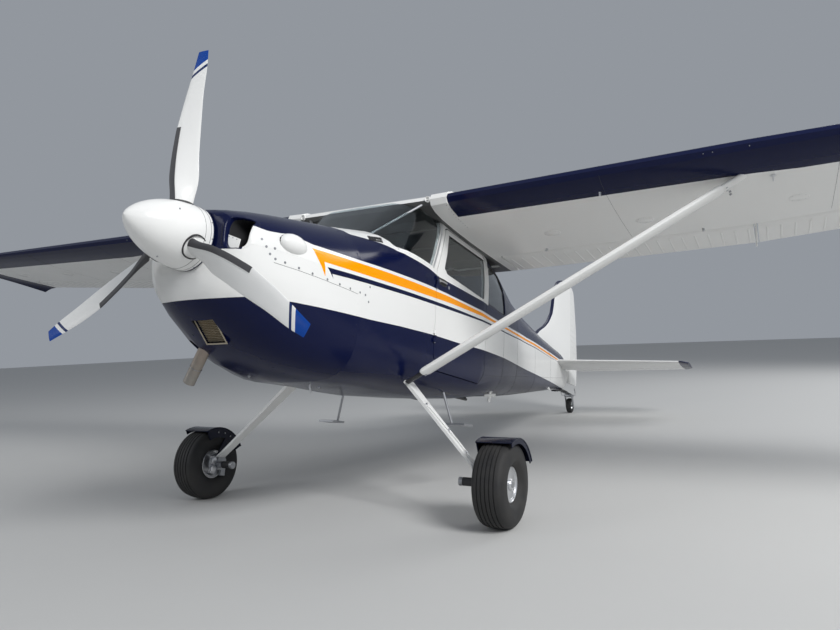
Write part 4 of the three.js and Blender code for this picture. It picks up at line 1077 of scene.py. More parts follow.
# Cowl fasteners seen on the photographed side, and their mirror images
SIDE_SCREWS = ((0.727, -0.001), (0.703, -0.034), (0.660, -0.033), (0.680, -0.067), (0.650, -0.086),
               (0.593, -0.090), (0.506, -0.097), (0.411, -0.103), (0.019, -0.116), (-0.034, -0.118),
               (-0.070, -0.152), (-0.072, -0.061), (0.30, -0.108), (0.20, -0.111), (0.11, -0.114))
spots, side_spots = [], []
for sign in (1, -1):
    side_spots += [side_on(FUSELAGE, x, z, sign) for x, z in SIDE_SCREWS]
    # the row round the cowl's rear edge and down its sides
    for k in range(13):
        spots.append(side_on(COWL, 0.024, -0.56 + 0.062 * k, sign))
    for k in range(9):
        a = math.radians(18 + 9 * k)
        spots.append(land(COWL, (0.024, sign * 1.2 * math.cos(a), -0.05 + 1.2 * math.sin(a)),
                          (0, -sign * math.cos(a), -math.sin(a))))
    for x in (0.60, 0.50, 0.40, 0.30, 0.20, 0.10):
        spots.append(land(COWL, (x, sign * 0.16, -1.2), (0, 0, 1)))


def fasteners(places):
    """Flush quarter-turn heads at the places that met the skin."""
    return [lathe(p - n * 0.001, n, [(0, 0.0068), (0.0015, 0.0068), (0.0022, 0.0068 - 0.001),
                                     (0.0022, 0.0)], 14) for p, n in (s for s in places if s)]


piece("cowl_side_fasteners", "airframe", DARK_SCREW, fasteners(side_spots))
piece("cowl_fasteners", "airframe", PAINT, fasteners(spots), slot="navy_paint")


def seam(points, way, steps=40):
    """A dark joint line over the skin, met along way from a path of points."""
    hits = []
    for a, b in zip(points, points[1:]):
        hits += [land(FUSELAGE, Vector(a) + (Vector(b) - Vector(a)) * (k / steps), way) for k in range(steps)]
    return strip([h for h in hits if h], 0.003, 0.0006)


seams = [seam([(x, sign * 1.5, z) for x, z in ((0.655, -0.106), (0.415, -0.113), (0.030, -0.129))],
              (0, -sign, 0)) for sign in (1, -1)]
piece("cowl_side_seams", "airframe", SEAM_SHADOW, seams)

# Fuselage skins: rows of rivets round the frames and along the stringers
SKIN = ["cabin_shell", "tail_cone", "door_left", "door_right"]
FRAMES = (-0.045, -0.40, -0.845, -1.815, -2.06, -2.33, -2.61, -2.88, -2.93, -3.35, -3.80, -4.25, -4.70,
          -5.10, -5.50, -5.80)


def middle(x):
    """Height of the fuselage's middle line."""
    return -0.06 + max(0.0, -1.7 - x) * 0.052


def section_touch(x, a, sign, names):
    """The skin of the section at x, met by a ray at an angle above the horizontal."""
    return touch(names, (x, sign * 1.5 * math.cos(a), middle(x) + 1.5 * math.sin(a)),
                 (0, -sign * math.cos(a), -math.sin(a)))


def around(x, low, high, step, sign):
    """Touches on the skin round one section, between two angles above the horizontal."""
    found, last = [], None
    for k in range(241):
        t = section_touch(x, math.radians(low + (high - low) * k / 240), sign, SKIN)
        if t and (last is None or (t[0] - last).length >= step):
            found.append(t)
            last = t[0]
    return found


def along(x0, x1, step, angle, sign, names=SKIN):
    """Touches on the skin along the fuselage, at one angle above the horizontal."""
    count = round(abs(x1 - x0) / step)
    return [section_touch(x0 + (x1 - x0) * k / count, math.radians(angle), sign, names)
            for k in range(count + 1)]


rivets = []
for _, sign in SIDES:
    for x in FRAMES:
        top = 28 if -0.80 < x < -0.1 else 89
        rivets += around(x, -88, top, 0.036 if x > -3.0 else 0.03, sign)
    for angle, x0, x1 in ((-26, -0.08, -5.4), (-58, -0.08, -4.6), (-84, -0.08, -5.0), (38, -2.36, -5.7),
                          (66, -2.40, -5.7), (12, -2.36, -5.5), (17, -0.08, -0.80)):
        rivets += along(x0, x1, 0.042, angle, sign)
studded("skin_rivets", PAINT, rivets)

# Lap joints: the thin edge of one skin over the next, drawn as a near-black strip: painted shadow along the
# step
laps = []
for _, sign in SIDES:
    for x in (-2.318, -2.915, -3.79, -4.69):
        laps.append(strip(around(x, -88, 88, 0.02, sign), 0.003, 0.0008))
    for angle, x0, x1 in ((-30, -1.80, -5.6), (44, -2.36, -5.75)):
        marks = [t for t in along(x0, x1, 0.05, angle, sign, ["cabin_shell", "tail_cone"]) if t]
        laps.append(strip(marks, 0.0025, 0.0008))
piece("skin_laps", "airframe", SEAM_SHADOW, laps)


def edge_run(outline, names, sign, step=0.02):
    """Touches along a path of side-view points."""
    found = []
    for (x0, z0), (x1, z1) in zip(outline, outline[1:]):
        length = math.hypot(x1 - x0, z1 - z0)
        count = max(1, round(length / step))
        for k in range(count):
            t = k / count
            found.append(touch(names, (x0 + (x1 - x0) * t, sign * 1.5, z0 + (z1 - z0) * t), (0, -sign, 0)))
    return [f for f in found if f]


# Windshield: a white retainer round its foot and its sides, with screws, and a dark seal at its edge
SCREEN_FOOT = [(-0.352, 0.425), (-0.385, 0.392), (-0.416, 0.345), (-0.436, 0.288), (-0.56, 0.273),
               (-0.80, 0.254)]
SCREEN_SIDE = [(-0.815, 0.262), (-0.872, 0.395), (-0.962, 0.596), (-0.962, 0.655)]
retainer, seal, grey_strip, retainer_screws = [], [], [], []
for side, sign in SIDES:
    run = edge_run(SCREEN_FOOT, ["cabin_shell"], sign)
    retainer.append(strip(run, 0.026, 0.0022))
    retainer_screws += run[::4]
    run = edge_run(SCREEN_SIDE, ["cabin_shell", f"door_{side}"], sign)
    grey_strip.append(strip(run, 0.022, 0.0022))
    retainer_screws += run[::5]
    run = edge_run([(-0.345, 0.432), (-0.392, 0.375), (-0.436, 0.303), (-0.56, 0.289), (-0.797, 0.272)],
                   ["windshield"], sign)
    seal.append(strip(run, 0.007, 0.0016))
piece("windshield_retainer", "airframe", TRIM, retainer)
piece("windshield_side_strips", "airframe", ALUMINIUM, grey_strip)
piece("windshield_seal", "airframe", BLACK, seal)
studded("windshield_screws", DARK_SCREW, retainer_screws, 0.0035, 0.0032)

# Windows: rubber beads round the glass and a frame strip round each opening
DOOR_PANE = [(-0.99, 0.31), (-1.067, 0.569), (-1.734, 0.569), (-1.729, 0.262), (-1.70, 0.246),
             (-1.03, 0.274), (-0.99, 0.31)]
REAR_PANE = [(-1.856, 0.246), (-1.856, 0.579), (-2.226, 0.579), (-2.334, 0.468), (-2.334, 0.262),
             (-2.318, 0.246), (-1.856, 0.246)]


def outset(outline, by):
    """The closed outline with every corner moved away from its middle."""
    cx = sum(p[0] for p in outline[:-1]) / (len(outline) - 1)
    cz = sum(p[1] for p in outline[:-1]) / (len(outline) - 1)
    return [(x + math.copysign(by, x - cx), z + math.copysign(by, z - cz)) for x, z in outline]


for side, sign in SIDES:
    door = f"door_{side}"
    for label, host, pane, by in (("door", door, DOOR_PANE, 0.021),
                                  ("rear", "cabin_shell", REAR_PANE, 0.020)):
        beading = edge_run(outset(pane, 0.004), [f"{label}_glass_{side}", host], sign)
        piece(f"{label}_window_bead_{side}", body_of(host), BLACK, [strip(beading, 0.008, 0.0014)])
        rim = edge_run(outset(pane, by), [host], sign)
        piece(f"{label}_window_frame_{side}", body_of(host), PAINT, [strip(rim, 0.014, 0.0016)])
        studded(f"{label}_window_rivets_{side}", PAINT, rim[::2], 0.0022, 0.0024)
    # rivets round the door skin
    door_edge = [(-0.895, -0.335), (-0.895, 0.245), (-1.035, 0.585), (-1.06, 0.598), (-1.735, 0.598),
                 (-1.768, 0.565), (-1.768, -0.345), (-1.70, -0.417), (-0.968, -0.417), (-0.895, -0.335)]
    studded(f"door_edge_rivets_{side}", PAINT, edge_run(door_edge, [door], sign, 0.034), 0.0026, 0.0008)

# Door handles: a dark dished plate with a lever, a lock, the inside pull and the hinge pins
for side, sign in SIDES:
    door = f"door_{side}"
    place = side_on([door], -0.955, 0.190, sign)
    spot, out = place[0], place[1]
    ahead = Vector((1, 0, 0)) - out * out.x
    ahead.normalize()
    up = out.cross(ahead) * (1 if out.cross(ahead).z > 0 else -1)
    dish = []
    for share, depth in ((1.0, 0.0002), (0.97, 0.0026), (0.90, 0.0026), (0.86, 0.0008), (0.0, 0.0008)):
        dish.append([spot + ahead * 0.068 * share * c + up * 0.026 * share * s + out * depth
                     for c, s in (squared(a, 0.5, 0.5) for a in angles(32))])
    piece(f"door_handle_plate_{side}", door, BLACK, [skin(dish)], smooth=50)
    lever = arc([spot + ahead * 0.045 + out * 0.006, spot + ahead * 0.02 + out * 0.012,
                 spot - ahead * 0.03 + out * 0.013, spot - ahead * 0.055 + out * 0.010], 6)
    pull = [tube(lever, [0.007] * 3 + [0.0055] * (len(lever) - 5) + [0.0045] * 2, 12),
            lathe(spot + ahead * 0.045, out, [(0, 0.011), (0.010, 0.010), (0.012, 0.007), (0.012, 0)], 20)]
    lock = side_on([door], -1.06, 0.175, sign)
    pull.append(lathe(lock[0], lock[1], [(-0.001, 0.012), (0.002, 0.012), (0.003, 0.009), (0.0025, 0.0)], 20))
    piece(f"door_handle_{side}", door, ALUMINIUM, pull)
    grip = arc([Vector((x, sign * y, 0.16)) for x, y in ((-1.52, 0.522), (-1.50, 0.490), (-1.38, 0.480),
                                                         (-1.26, 0.490), (-1.24, 0.522))])
    rest_low, rest_high = sorted((sign * 0.455, sign * 0.522))
    trim_parts = [tube(grip, 0.009, 12), block((-1.60, rest_low, 0.015), (-1.15, rest_high, 0.045)),
                  tube([(-1.02, sign * 0.524, 0.12), (-1.02, sign * 0.495, 0.12),
                        (-1.08, sign * 0.492, 0.12)], 0.007, 10)]
    piece(f"door_inner_pull_{side}", door, BLACK, trim_parts, bevel=0.003)
    pins = []
    for z in (-0.230, 0.150):
        for dz in (-0.026, 0.060):
            pins.append(lathe((-0.869, sign * 0.559, z + dz - 0.001), (0, 0, 1 if dz > 0 else -1),
                              [(0.0, 0.0045), (0.003, 0.0045), (0.004, 0.003), (0.004, 0.0)], 12))
    piece(f"door_hinge_pins_{side}", "airframe", STEEL, pins)

# Small dark vent on the sill in front of the windshield
vents, louvres = [], []
for _, sign in SIDES:
    corners = [(-0.222, 0.320), (-0.188, 0.279), (-0.316, 0.296), (-0.359, 0.348)]
    hits = [side_on(["cabin_shell"], x, z, sign) for x, z in corners]
    if all(hits):
        out = sum((h[1] for h in hits), Vector()).normalized()
        vents.append(plate([h[0] - out * 0.001 for h in hits], out, 0.004))
        for k in range(5):
            t = (k + 0.7) / 5.6
            a, b = hits[0][0].lerp(hits[3][0], t), hits[1][0].lerp(hits[2][0], t)
            louvres.append(tube([a.lerp(b, 0.12) + out * 0.004, a.lerp(b, 0.88) + out * 0.004], 0.0022, 8))
piece("sill_vents", "airframe", BLACK, vents, bevel=0.001)
piece("sill_vent_louvres", "airframe", SEAM_SHADOW, louvres)

# Brace tubes behind the windshield, and the fresh air tubes at the wing roots
braces = []
for _, sign in SIDES:
    foot, head = Vector((-0.43, sign * 0.10, 0.345)), Vector((-0.735, sign * 0.500, 0.712))
    braces.append(tube([foot, head], 0.009, 14))
    braces.append(lathe(foot, (0, 0, 1), [(-0.012, 0.03), (0.004, 0.03), (0.010, 0.018), (0.010, 0)], 20))
piece("windshield_braces", "airframe", STEEL, braces)
airways = []
for side, sign in SIDES:
    hit = land(["cabin_roof", f"wing_{side}"], (0.2, sign * 0.538, 0.722), (-1, 0, 0))
    if hit:
        airways.append(lathe(hit[0], (1, 0, 0), [(-0.004, 0.021), (0.010, 0.021), (0.013, 0.019),
                                                 (0.011, 0.016), (0.0, 0.015), (0.0, 0.0)], 28))
piece("fresh_air_inlets", "airframe", TRIM, airways)

# Belly: two drains, a bent vent tube, a mast with a cross tube, and a round fitting on the tail cone
belly, belly_bits = [], []
for x, y in ((0.168, -0.127), (-0.35, 0.0)):
    hit = land(FUSELAGE, (x, y, -1.2), (0, 0, 1))
    if hit:
        belly_bits.append(lathe(hit[0], hit[1], [(-0.002, 0.009), (0.003, 0.009), (0.004, 0.005),
                                                 (0.010, 0.005), (0.011, 0.0)], 16))
p = land(FUSELAGE, (-0.15, 0.08, -1.2), (0, 0, 1))[0]
belly_bits.append(tube(arc([p + Vector((0, 0, 0.02)), p - Vector((0, 0, 0.02)),
                            p - Vector((0.02, 0, 0.05))]), 0.005, 12))
piece("belly_drains", "airframe", ALUMINIUM, belly_bits)
root = land(SKIN, (-2.284, 0.401, -1.2), (0, 0, 1))[0]
belly.append(tube([root + Vector((0, 0, 0.01)), root - Vector((0, 0, 0.030)),
                   root - Vector((0, 0.012, 0.085))], [0.012, 0.012, 0.015], 14))
belly.append(tube([root + Vector((0.02, -0.045, -0.028)), root + Vector((-0.02, 0.045, -0.028))],
                  [0.013, 0.015], 14))
belly.append(lathe(root, (0, 0, -1), [(-0.004, 0.022), (0.002, 0.022), (0.004, 0.014), (0.004, 0)], 24))
hit = side_on(["tail_cone"], -4.764, -0.135) or side_on(["tail_cone"], -4.764, -0.05)
if hit:
    p, n = hit
    belly.append(lathe(p, n, [(-0.002, 0.018), (0.004, 0.018), (0.010, 0.012), (0.026, 0.009), (0.028, 0)],
                       20))
piece("belly_mast", "airframe", TRIM, belly, smooth=45)

# Aerials on top: two swept blades on round feet
top_bits = []
for x, tall, lean in ((-1.55, 0.20, 0.10), (-2.75, 0.16, 0.09)):
    p = land(["cabin_roof", "cabin_shell", "tail_cone"], (x, 0.0, 2.0), (0, 0, -1))[0]
    blade = []
    for share in (0.0, 0.35, 0.7, 0.95, 1.0):
        chord, thick = 0.045 * (1 - 0.45 * share), 0.0065 * (1 - 0.5 * share)
        if share == 1.0:
            chord, thick = chord * 0.6, thick * 0.4
        centre = p + Vector((-lean * share, 0, tall * share - 0.004))
        blade.append([centre + Vector((chord * math.cos(a), thick * math.sin(a), 0))
                      for a in angles(20)])
    top_bits.append(skin(blade))
    top_bits.append(lathe(p, (0, 0, 1), [(-0.006, 0.055), (0.003, 0.055), (0.005, 0.045), (0.005, 0)], 28))
piece("roof_aerials", "airframe", TRIM, top_bits, smooth=50)

# Struts: bolts at both ends
bolts = []
for _, sign in SIDES:
    foot = Vector((-0.628, sign * 0.590, -0.508))
    head = Vector((-0.985, sign * 2.484, 0.655))
    way = (head - foot).normalized()
    across = Vector((1, 0, 0))
    face = way.cross(across).normalized()
    for turn in (1, -1):
        spot = foot + way * 0.030 + face * turn * 0.020
        bolts.append(lathe(spot, face * turn, [(-0.004, 0.010), (0.006, 0.010), (0.007, 0.008), (0.007, 0)],
                           6))
    for dx in (-0.025, 0.020):
        spot = head - way * 0.075 + across * dx
        for turn in (1, -1):
            bolts.append(lathe(spot + face * turn * 0.017, face * turn,
                               [(-0.004, 0.008), (0.004, 0.008), (0.005, 0.006), (0.005, 0)], 6))
piece("strut_bolts", "airframe", STEEL, bolts)

# Steps: a rough tread of thin bars
treads = []
for _, sign in SIDES:
    foot = Vector((-1.316, sign * 0.506, -0.787))
    for k in range(9):
        x = foot.x - 0.064 + 0.016 * k
        y0, y1 = sorted((foot.y, foot.y + sign * 0.118))
        treads.append(block((x - 0.003, y0, foot.z + 0.0065), (x + 0.003, y1, foot.z + 0.0085)))
piece("step_grips", "airframe", BLACK, treads)

# Wing surfaces: the same section as the solid, for placing rows by span and share of the chord
def wing_at(y):
    """The leading edge's place and height and the chord at this distance out."""
    over = max(0.0, abs(y) - 2.540) / (5.290 - 2.540)
    chord = 1.627 + over * (1.118 - 1.627)
    return -0.700 - over * 0.069, 0.716 + (abs(y) - 0.558) * math.tan(math.radians(1.7)), chord


def wing_touch(side, sign, y, share, up):
    """The skin above (up = 1) or below (up = -1), at a share of the chord behind the leading edge."""
    x0, z0, chord = wing_at(y)
    names = [f"wing_{side}", f"flap_{side}", f"aileron_{side}"]
    return touch(names, (x0 - share * chord, sign * y, z0 + up * 0.6), (0, 0, -up), 1.0)


RIBS = (0.76, 1.06, 1.38, 1.70, 2.02, 2.34, 2.62, 2.98, 3.36, 3.74, 4.12, 4.50, 4.88, 5.20)
for side, sign in SIDES:
    dots = []
    for up in (1, -1):
        for y in RIBS:
            chord = wing_at(y)[2]
            count = round(0.66 * chord / 0.045)
            dots += [wing_touch(side, sign, y, 0.045 + 0.665 * k / count, up) for k in range(count + 1)]
        for share in (0.035, 0.255, 0.272, 0.655):
            dots += [wing_touch(side, sign, 0.72 + 0.048 * k, share, up) for k in range(94)]
    dots = [d for d in dots if d and d[2] == f"wing_{side}"]
    studded(f"wing_rivets_{side}", WING, dots, 0.0028, 0.0008)

# Stiffening beads pressed into the flaps and ailerons, above and below
for side, sign in SIDES:
    for name, y0, y1 in (("flap", 0.69, 2.49), ("aileron", 2.61, 5.13)):
        beads = []
        count = round((y1 - y0) / 0.090)
        for k in range(count + 1):
            y = y0 + (y1 - y0) * k / count
            for up in (1, -1):
                run = [wing_touch(side, sign, y, 0.775 + 0.205 * j / 7, up) for j in range(8)]
                beads += bead([t for t in run if t and t[2].startswith(name)], 0.016, 0.0032)
        piece(f"{name}_beads_{side}", f"{name}_{side}", WING, beads, smooth=60)

# Leading edge: skin laps, the cuff's screws and the landing light
laps, cuffs = [], []
for side, sign in SIDES:
    # each skin lap is a near-black strip: painted shadow along the skin's edge
    for y in (1.70, 2.98, 4.12):
        for up in (1, -1):
            run = [wing_touch(side, sign, y + 0.012, 0.012 + 0.69 * (k / 30) ** 1.6, up) for k in range(31)]
            run = [t for t in run if t and t[2] == f"wing_{side}"]
            laps.append(strip(run, 0.002, 0.0007))
    for up in (1, -1):
        cuffs += [wing_touch(side, sign, 0.670, 0.02 + 0.22 * (k / 9), up) for k in range(10)]
    for y in (2.31, 2.36, 2.55):
        hit = land([f"wing_{side}"], (0.3, sign * y, wing_at(y)[1] - 0.012), (-1, 0, 0))
        if hit:
            cuffs.append((hit[0], hit[1], f"wing_{side}"))

# Landing light: a clear cover let into the left wing's leading edge
LIGHT_Y = 3.95
LIGHT_Z = wing_at(LIGHT_Y)[1] - 0.004
rings = []
for share, proud in ((1.0, 0.0008), (0.94, 0.003), (0.6, 0.004), (0.0, 0.004)):
    ring_now = []
    for c, s in (squared(a, 0.6, 0.7) for a in angles(32)):
        hit = land(["wing_left"], (0.3, LIGHT_Y + 0.105 * c * share, LIGHT_Z + 0.042 * s * share), (-1, 0, 0))
        ring_now.append(hit[0] + Vector((proud, 0, 0)))
    rings.append(ring_now)
lenses = [skin(rings, ends=False)]
rim = [p + Vector((0.0015, 0, 0)) for p in rings[0]]
lamp_rims = [tube(rim + rim[:1], 0.003, 6)]
piece("wing_laps", "airframe", SEAM_SHADOW, laps)
studded("cuff_screws", DARK_SCREW, cuffs, 0.004, 0.0016)


def lamp_glass():
    """A bright lens with fine ribs."""
    n = Nodes("lamp_lens")
    ribs = n.add("ShaderNodeTexWave", {"Vector": n.place(), "Scale": 40.0, "Distortion": 0.0},
                 bands_direction="Y")
    n.set(Base_Color=n.mix(ribs, (0.42, 0.45, 0.48, 1), (0.75, 0.78, 0.80, 1)), Roughness=0.06,
          Coat_Weight=1.0, Metallic=0.5)
    n.bump(ribs, 0.3, 0.002)
    return n.material


def tinted(name, colour):
    """Coloured lamp glass."""
    n = Nodes(name)
    n.set(Base_Color=n.mix(n.noise(60.0), colour, shade(colour, 0.6)), Roughness=0.12, Coat_Weight=1.0)
    return n.material


piece("landing_lights", "airframe", lamp_glass(), lenses, slot="glazing", smooth=60)
piece("landing_light_rims", "airframe", ALUMINIUM, lamp_rims)

# Position lights at the wing tips: red to the left and green to the right, each on a small base
bases = []
for (side, sign), tone in zip(SIDES, ((0.55, 0.01, 0.01, 1), (0.01, 0.32, 0.06, 1))):
    hit = land([f"wing_{side}"], (0.3, sign * 5.385, 0.842), (-1, 0, 0))
    if not hit:
        continue
    p = hit[0]
    bulb = [ring(p + Vector((-0.02 + 0.058 * t, 0, 0)), (1, 0, 0),
                 max(1e-4, 0.017 * math.sqrt(max(0, 1 - t ** 3))) * (0.6 + 0.4 * min(1, t * 3)), 20)
            for t in (0, 0.15, 0.3, 0.5, 0.7, 0.85, 0.95, 1.0)]
    piece(f"position_light_{side}", "airframe", tinted(f"lens_{side}", tone), [skin(bulb)], slot="glazing",
          smooth=60)
    bases.append(lathe(p + Vector((0.004, 0, 0)), (-1, 0, 0), [(0.0, 0.0185), (0.012, 0.021), (0.05, 0.019),
                                                               (0.06, 0.0)], 24))
piece("position_light_bases", "airframe", TRIM, bases)

# Fuel caps on the wing; under it inspection covers, small fittings, a ring and the rod at the flap's end
covers, cover_screws, fittings = [], [], []
for side, sign in SIDES:
    for y in (1.20, 1.86, 2.80, 3.55, 4.30, 5.02):
        t = wing_touch(side, sign, y, 0.46, -1)
        covers.append(lathe(t[0], t[1], [(-0.001, 0.062), (0.0012, 0.062), (0.0022, 0.060), (0.0022, 0.0)],
                            36))
        u, v = basis(t[1])
        cover_screws += [(t[0] + (u * math.cos(a) + v * math.sin(a)) * 0.052 + t[1] * 0.002, t[1],
                          f"wing_{side}") for a in angles(8)]
    for y in (1.25, 2.15):
        t = wing_touch(side, sign, y, 0.30, 1)
        covers.append(lathe(t[0], t[1], [(-0.001, 0.085), (0.0015, 0.085), (0.003, 0.082), (0.003, 0.040),
                                         (0.010, 0.038), (0.012, 0.034), (0.012, 0.0)], 40))
    for x, y in ((-0.887, 1.681), (-1.799, 2.206), (-1.801, 1.044)):
        t = touch([f"wing_{side}", f"flap_{side}"], (x, sign * y, 0.1), (0, 0, 1), 1.0)
        if t and t[2] == f"wing_{side}":
            fittings.append(tube([t[0] + Vector((0, 0, 0.004)), t[0] - Vector((0, 0, 0.022))],
                                 [0.010, 0.0065], 14))
    t = touch([f"wing_{side}"], (-1.02, sign * 2.66, 0.1), (0, 0, 1), 1.0)
    if t:
        fittings.append(hoop(t[0] - Vector((0, 0, 0.020)), (0, 1, 0), 0.017, 0.004, 28, 8))
        fittings.append(lathe(t[0], t[1], [(-0.002, 0.016), (0.005, 0.016), (0.007, 0.010), (0.007, 0)], 20))
piece("wing_covers", "airframe", TRIM, covers, smooth=30)
studded("cover_screws", DARK_SCREW, cover_screws, 0.0026, 0.001)
piece("wing_fittings", "airframe", ALUMINIUM, fittings)
t = touch(["wing_left"], (-1.885, 2.540, 0.1), (0, 0, 1), 1.0)
if t:
    rod = [tube([t[0] + Vector((0, 0, 0.01)), t[0] - Vector((0, 0, 0.155))], 0.0052, 12),
           lathe(t[0], (0, 0, -1), [(-0.004, 0.0075), (0.006, 0.0075), (0.010, 0.006), (0.010, 0)], 20)]
    piece("wing_rod", "airframe", TRIM, rod)
# the pressure tube under the left wing
t = touch(["wing_left"], (-0.86, 3.30, 0.1), (0, 0, 1), 1.0)
if t:
    low = t[0] - Vector((0, 0, 0.085))
    probe = arc([t[0] + Vector((0, 0, 0.01)), t[0] - Vector((0, 0, 0.06)), low + Vector((0.03, 0, 0)),
                 low + Vector((0.12, 0, 0))], 8)
    foot = lathe(t[0], (0, 0, -1), [(-0.004, 0.02), (0.004, 0.02), (0.006, 0.010), (0.006, 0)], 24)
    piece("pressure_tube", "airframe", ALUMINIUM, [tube(probe, 0.0062, 14), foot])

# Tail surfaces: rivets and pressed beads
TAIL_HINGE, TAIL_Z = -5.890, 0.275


def above(name, x, y, up):
    """A flat tail surface's upper or lower skin."""
    return touch([name], (x, y, TAIL_Z + up * 0.4), (0, 0, -up), 1.0)


def beside(name, x, z, sign):
    """An upright tail surface's left or right skin."""
    return touch([name], (x, sign * 0.5, z), (0, -sign, 0), 1.0)


dots, beads_e, beads_r = [], [], []
for _, sign in SIDES:
    for up in (1, -1):
        for y in (0.30, 0.62, 0.94, 1.26, 1.53):
            lead = 0.690 + (0.350 - 0.690) * y / 1.65
            count = round(lead / 0.045)
            dots += [above("stabilizer", TAIL_HINGE + 0.03 + (lead - 0.06) * k / count, sign * y, up)
                     for k in range(count + 1)]
        dots += [above("stabilizer", TAIL_HINGE + 0.045, sign * (0.2 + 0.045 * k), up) for k in range(31)]
        for k in range(16):
            y = 0.20 + 0.088 * k
            chord = 0.430 + (0.320 - 0.430) * (y - 0.152) / 1.44
            beads_e += bead([above("elevator", TAIL_HINGE - 0.05 - (chord - 0.075) * j / 5, sign * y, up)
                             for j in range(6)], 0.015, 0.0028)
    for z, lead in ((0.62, 1.20), (0.82, 0.88), (1.02, 0.74), (1.22, 0.68), (1.40, 0.53)):
        count = round(lead / 0.042)
        dots += [beside("fin", -6.09 + (lead - 0.03) * k / count, z, sign) for k in range(count + 1)]
    dots += [beside("fin", -6.075, 0.52 + 0.045 * k, sign) for k in range(21)]
    for k in range(12):
        z = 0.55 + 0.078 * k
        chord = 0.49 - 0.18 * (z - 0.47) / 0.98
        beads_r += bead([beside("rudder", -6.17 - (chord - 0.085) * j / 5, z, sign) for j in range(6)],
                        0.015, 0.0028)
studded("stabilizer_rivets", STAB, [d for d in dots if d and d[2] == "stabilizer"], 0.0026, 0.0008)
studded("fin_rivets", FIN, [d for d in dots if d and d[2] == "fin"], 0.0026, 0.0008)
piece("elevator_beads", "elevator", WHITE_PAINT, beads_e, smooth=60)
piece("rudder_beads", "rudder", WHITE_PAINT, beads_r, smooth=60)

# Rear light on the rudder's edge
hit = land(["rudder"], (-7.4, 0, 0.62), (1, 0, 0))
rear = [lathe(hit[0] + Vector((0.012, 0, 0)), (-1, 0, 0), [(0, 0.012), (0.006, 0.012), (0.010, 0.010),
                                                           (0.0135, 0.005), (0.014, 0)], 20)]
piece("rear_light", "rudder", lamp_glass(), rear, slot="glazing")

# Steering: arms and springs over the tail wheel, and the clamps of the tail spring
arms, coils = [], []
for _, sign in SIDES:
    arms.append(plate([(-6.165, sign * 0.046, -0.078), (-6.215, sign * 0.046, -0.078),
                       (-6.200, sign * 0.105, -0.078), (-6.180, sign * 0.105, -0.078)], (0, 0, 1), 0.005))
    start, end = Vector((-6.190, sign * 0.098, -0.070)), Vector((-6.130, sign * 0.098, 0.022))
    way = (end - start).normalized()
    u, v = basis(way)
    turns, count = 9, 108
    coil = [start + way * (0.02 + 0.07 * k / count) + (u * math.cos(k * math.tau * turns / count)
                                                       + v * math.sin(k * math.tau * turns / count)) * 0.007
            for k in range(count + 1)]
    coils.append(tube([start] + coil + [end], 0.0016, 6))
piece("steering_arms", "tail_fork", STEEL, arms, bevel=0.001)
piece("steering_springs", "tail_fork", STEEL, coils)
leaf_bits = []
for x in (-5.60, -5.72, -6.03, -6.19):
    hit = touch(["tail_spring"], (x, 0, -0.4), (0, 0, 1), 1.0)
    if hit:
        for y in (-0.016, 0.016):
            leaf_bits.append(lathe(hit[0] + Vector((0, y, 0)), (0, 0, -1),
                                   [(-0.003, 0.008), (0.006, 0.008), (0.007, 0.006), (0.007, 0)], 6))
        leaf_bits.append(block(hit[0] + Vector((-0.012, -0.034, -0.003)),
                               hit[0] + Vector((0.012, 0.034, 0.001))))
piece("tail_spring_clamps", "airframe", STEEL, leaf_bits, bevel=0.001)

# Seats: padded cushions and backs on tube frames
FLOOR_Z = -0.564


def seat_pad(name, centre, size, lean, crown):
    """A crowned cushion: a rounded block, blown up a little as cloth and then smoothed."""
    shape = bmesh.new()
    bmesh.ops.create_cube(shape, size=2.0)
    bmesh.ops.subdivide_edges(shape, edges=shape.edges[:], cuts=11, use_grid_fill=True)
    turn = Matrix.Rotation(lean, 3, "Y")
    for vert in shape.verts:
        a, b, c = vert.co
        ball = Vector((a * math.sqrt(max(0, 1 - b * b / 2 - c * c / 2 + b * b * c * c / 3)),
                       b * math.sqrt(max(0, 1 - a * a / 2 - c * c / 2 + a * a * c * c / 3)),
                       c * math.sqrt(max(0, 1 - a * a / 2 - b * b / 2 + a * a * b * b / 3))))
        p = vert.co.lerp(ball, 0.22)
        p.z *= 1 - crown + crown * (1 - a ** 4) * (1 - b ** 4)
        p = Vector((p.x * size[0] / 2, p.y * size[1] / 2, p.z * size[2] / 2))
        vert.co = LEVEL @ (Vector(centre) + turn @ p)
    mesh = bpy.data.meshes.new(name)
    shape.to_mesh(mesh)
    shape.free()
    item = bpy.data.objects.new(name, mesh)
    bpy.context.scene.collection.objects.link(item)
    remesh = item.modifiers.new("remesh", "REMESH")
    remesh.mode, remesh.voxel_size = "VOXEL", 0.013
    freeze(item)
    puff(item, cap=0.010)
    smooth = item.modifiers.new("smooth", "SMOOTH")
    smooth.iterations = 4
    freeze(item)
    item.data.materials.clear()
    item.data.materials.append(FABRIC)
    item.data.shade_smooth()
    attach(item, "airframe")
    return item


def freeze(item):
    """Applies the item's modifiers to its mesh."""
    solid = bpy.data.meshes.new_from_object(item.evaluated_get(bpy.context.evaluated_depsgraph_get()))
    item.modifiers.clear()
    item.data = solid


def puff(item, cap, frames=14):
    """Runs the cushion as cloth under inner pressure and keeps each point within cap of its start."""
    start = [v.co.copy() for v in item.data.vertices]
    cloth = item.modifiers.new("cloth", "CLOTH")
    cloth.settings.use_pressure = True
    cloth.settings.uniform_pressure_force = 4.0
    cloth.settings.effector_weights.gravity = 0.0
    cloth.settings.quality = 4
    for number in range(1, frames + 1):
        bpy.context.scene.frame_set(number)
    freeze(item)
    for vert, old in zip(item.data.vertices, start):
        move = vert.co - old
        if move.length > cap:
            vert.co = old + move.normalized() * cap
    bpy.context.scene.frame_set(1)


def pad_tree(item):
    """A pad's surface in level metres."""
    verts = [TO_LEVEL @ v.co for v in item.data.vertices]
    return BVHTree.FromPolygons(verts, [tuple(p.vertices) for p in item.data.polygons])


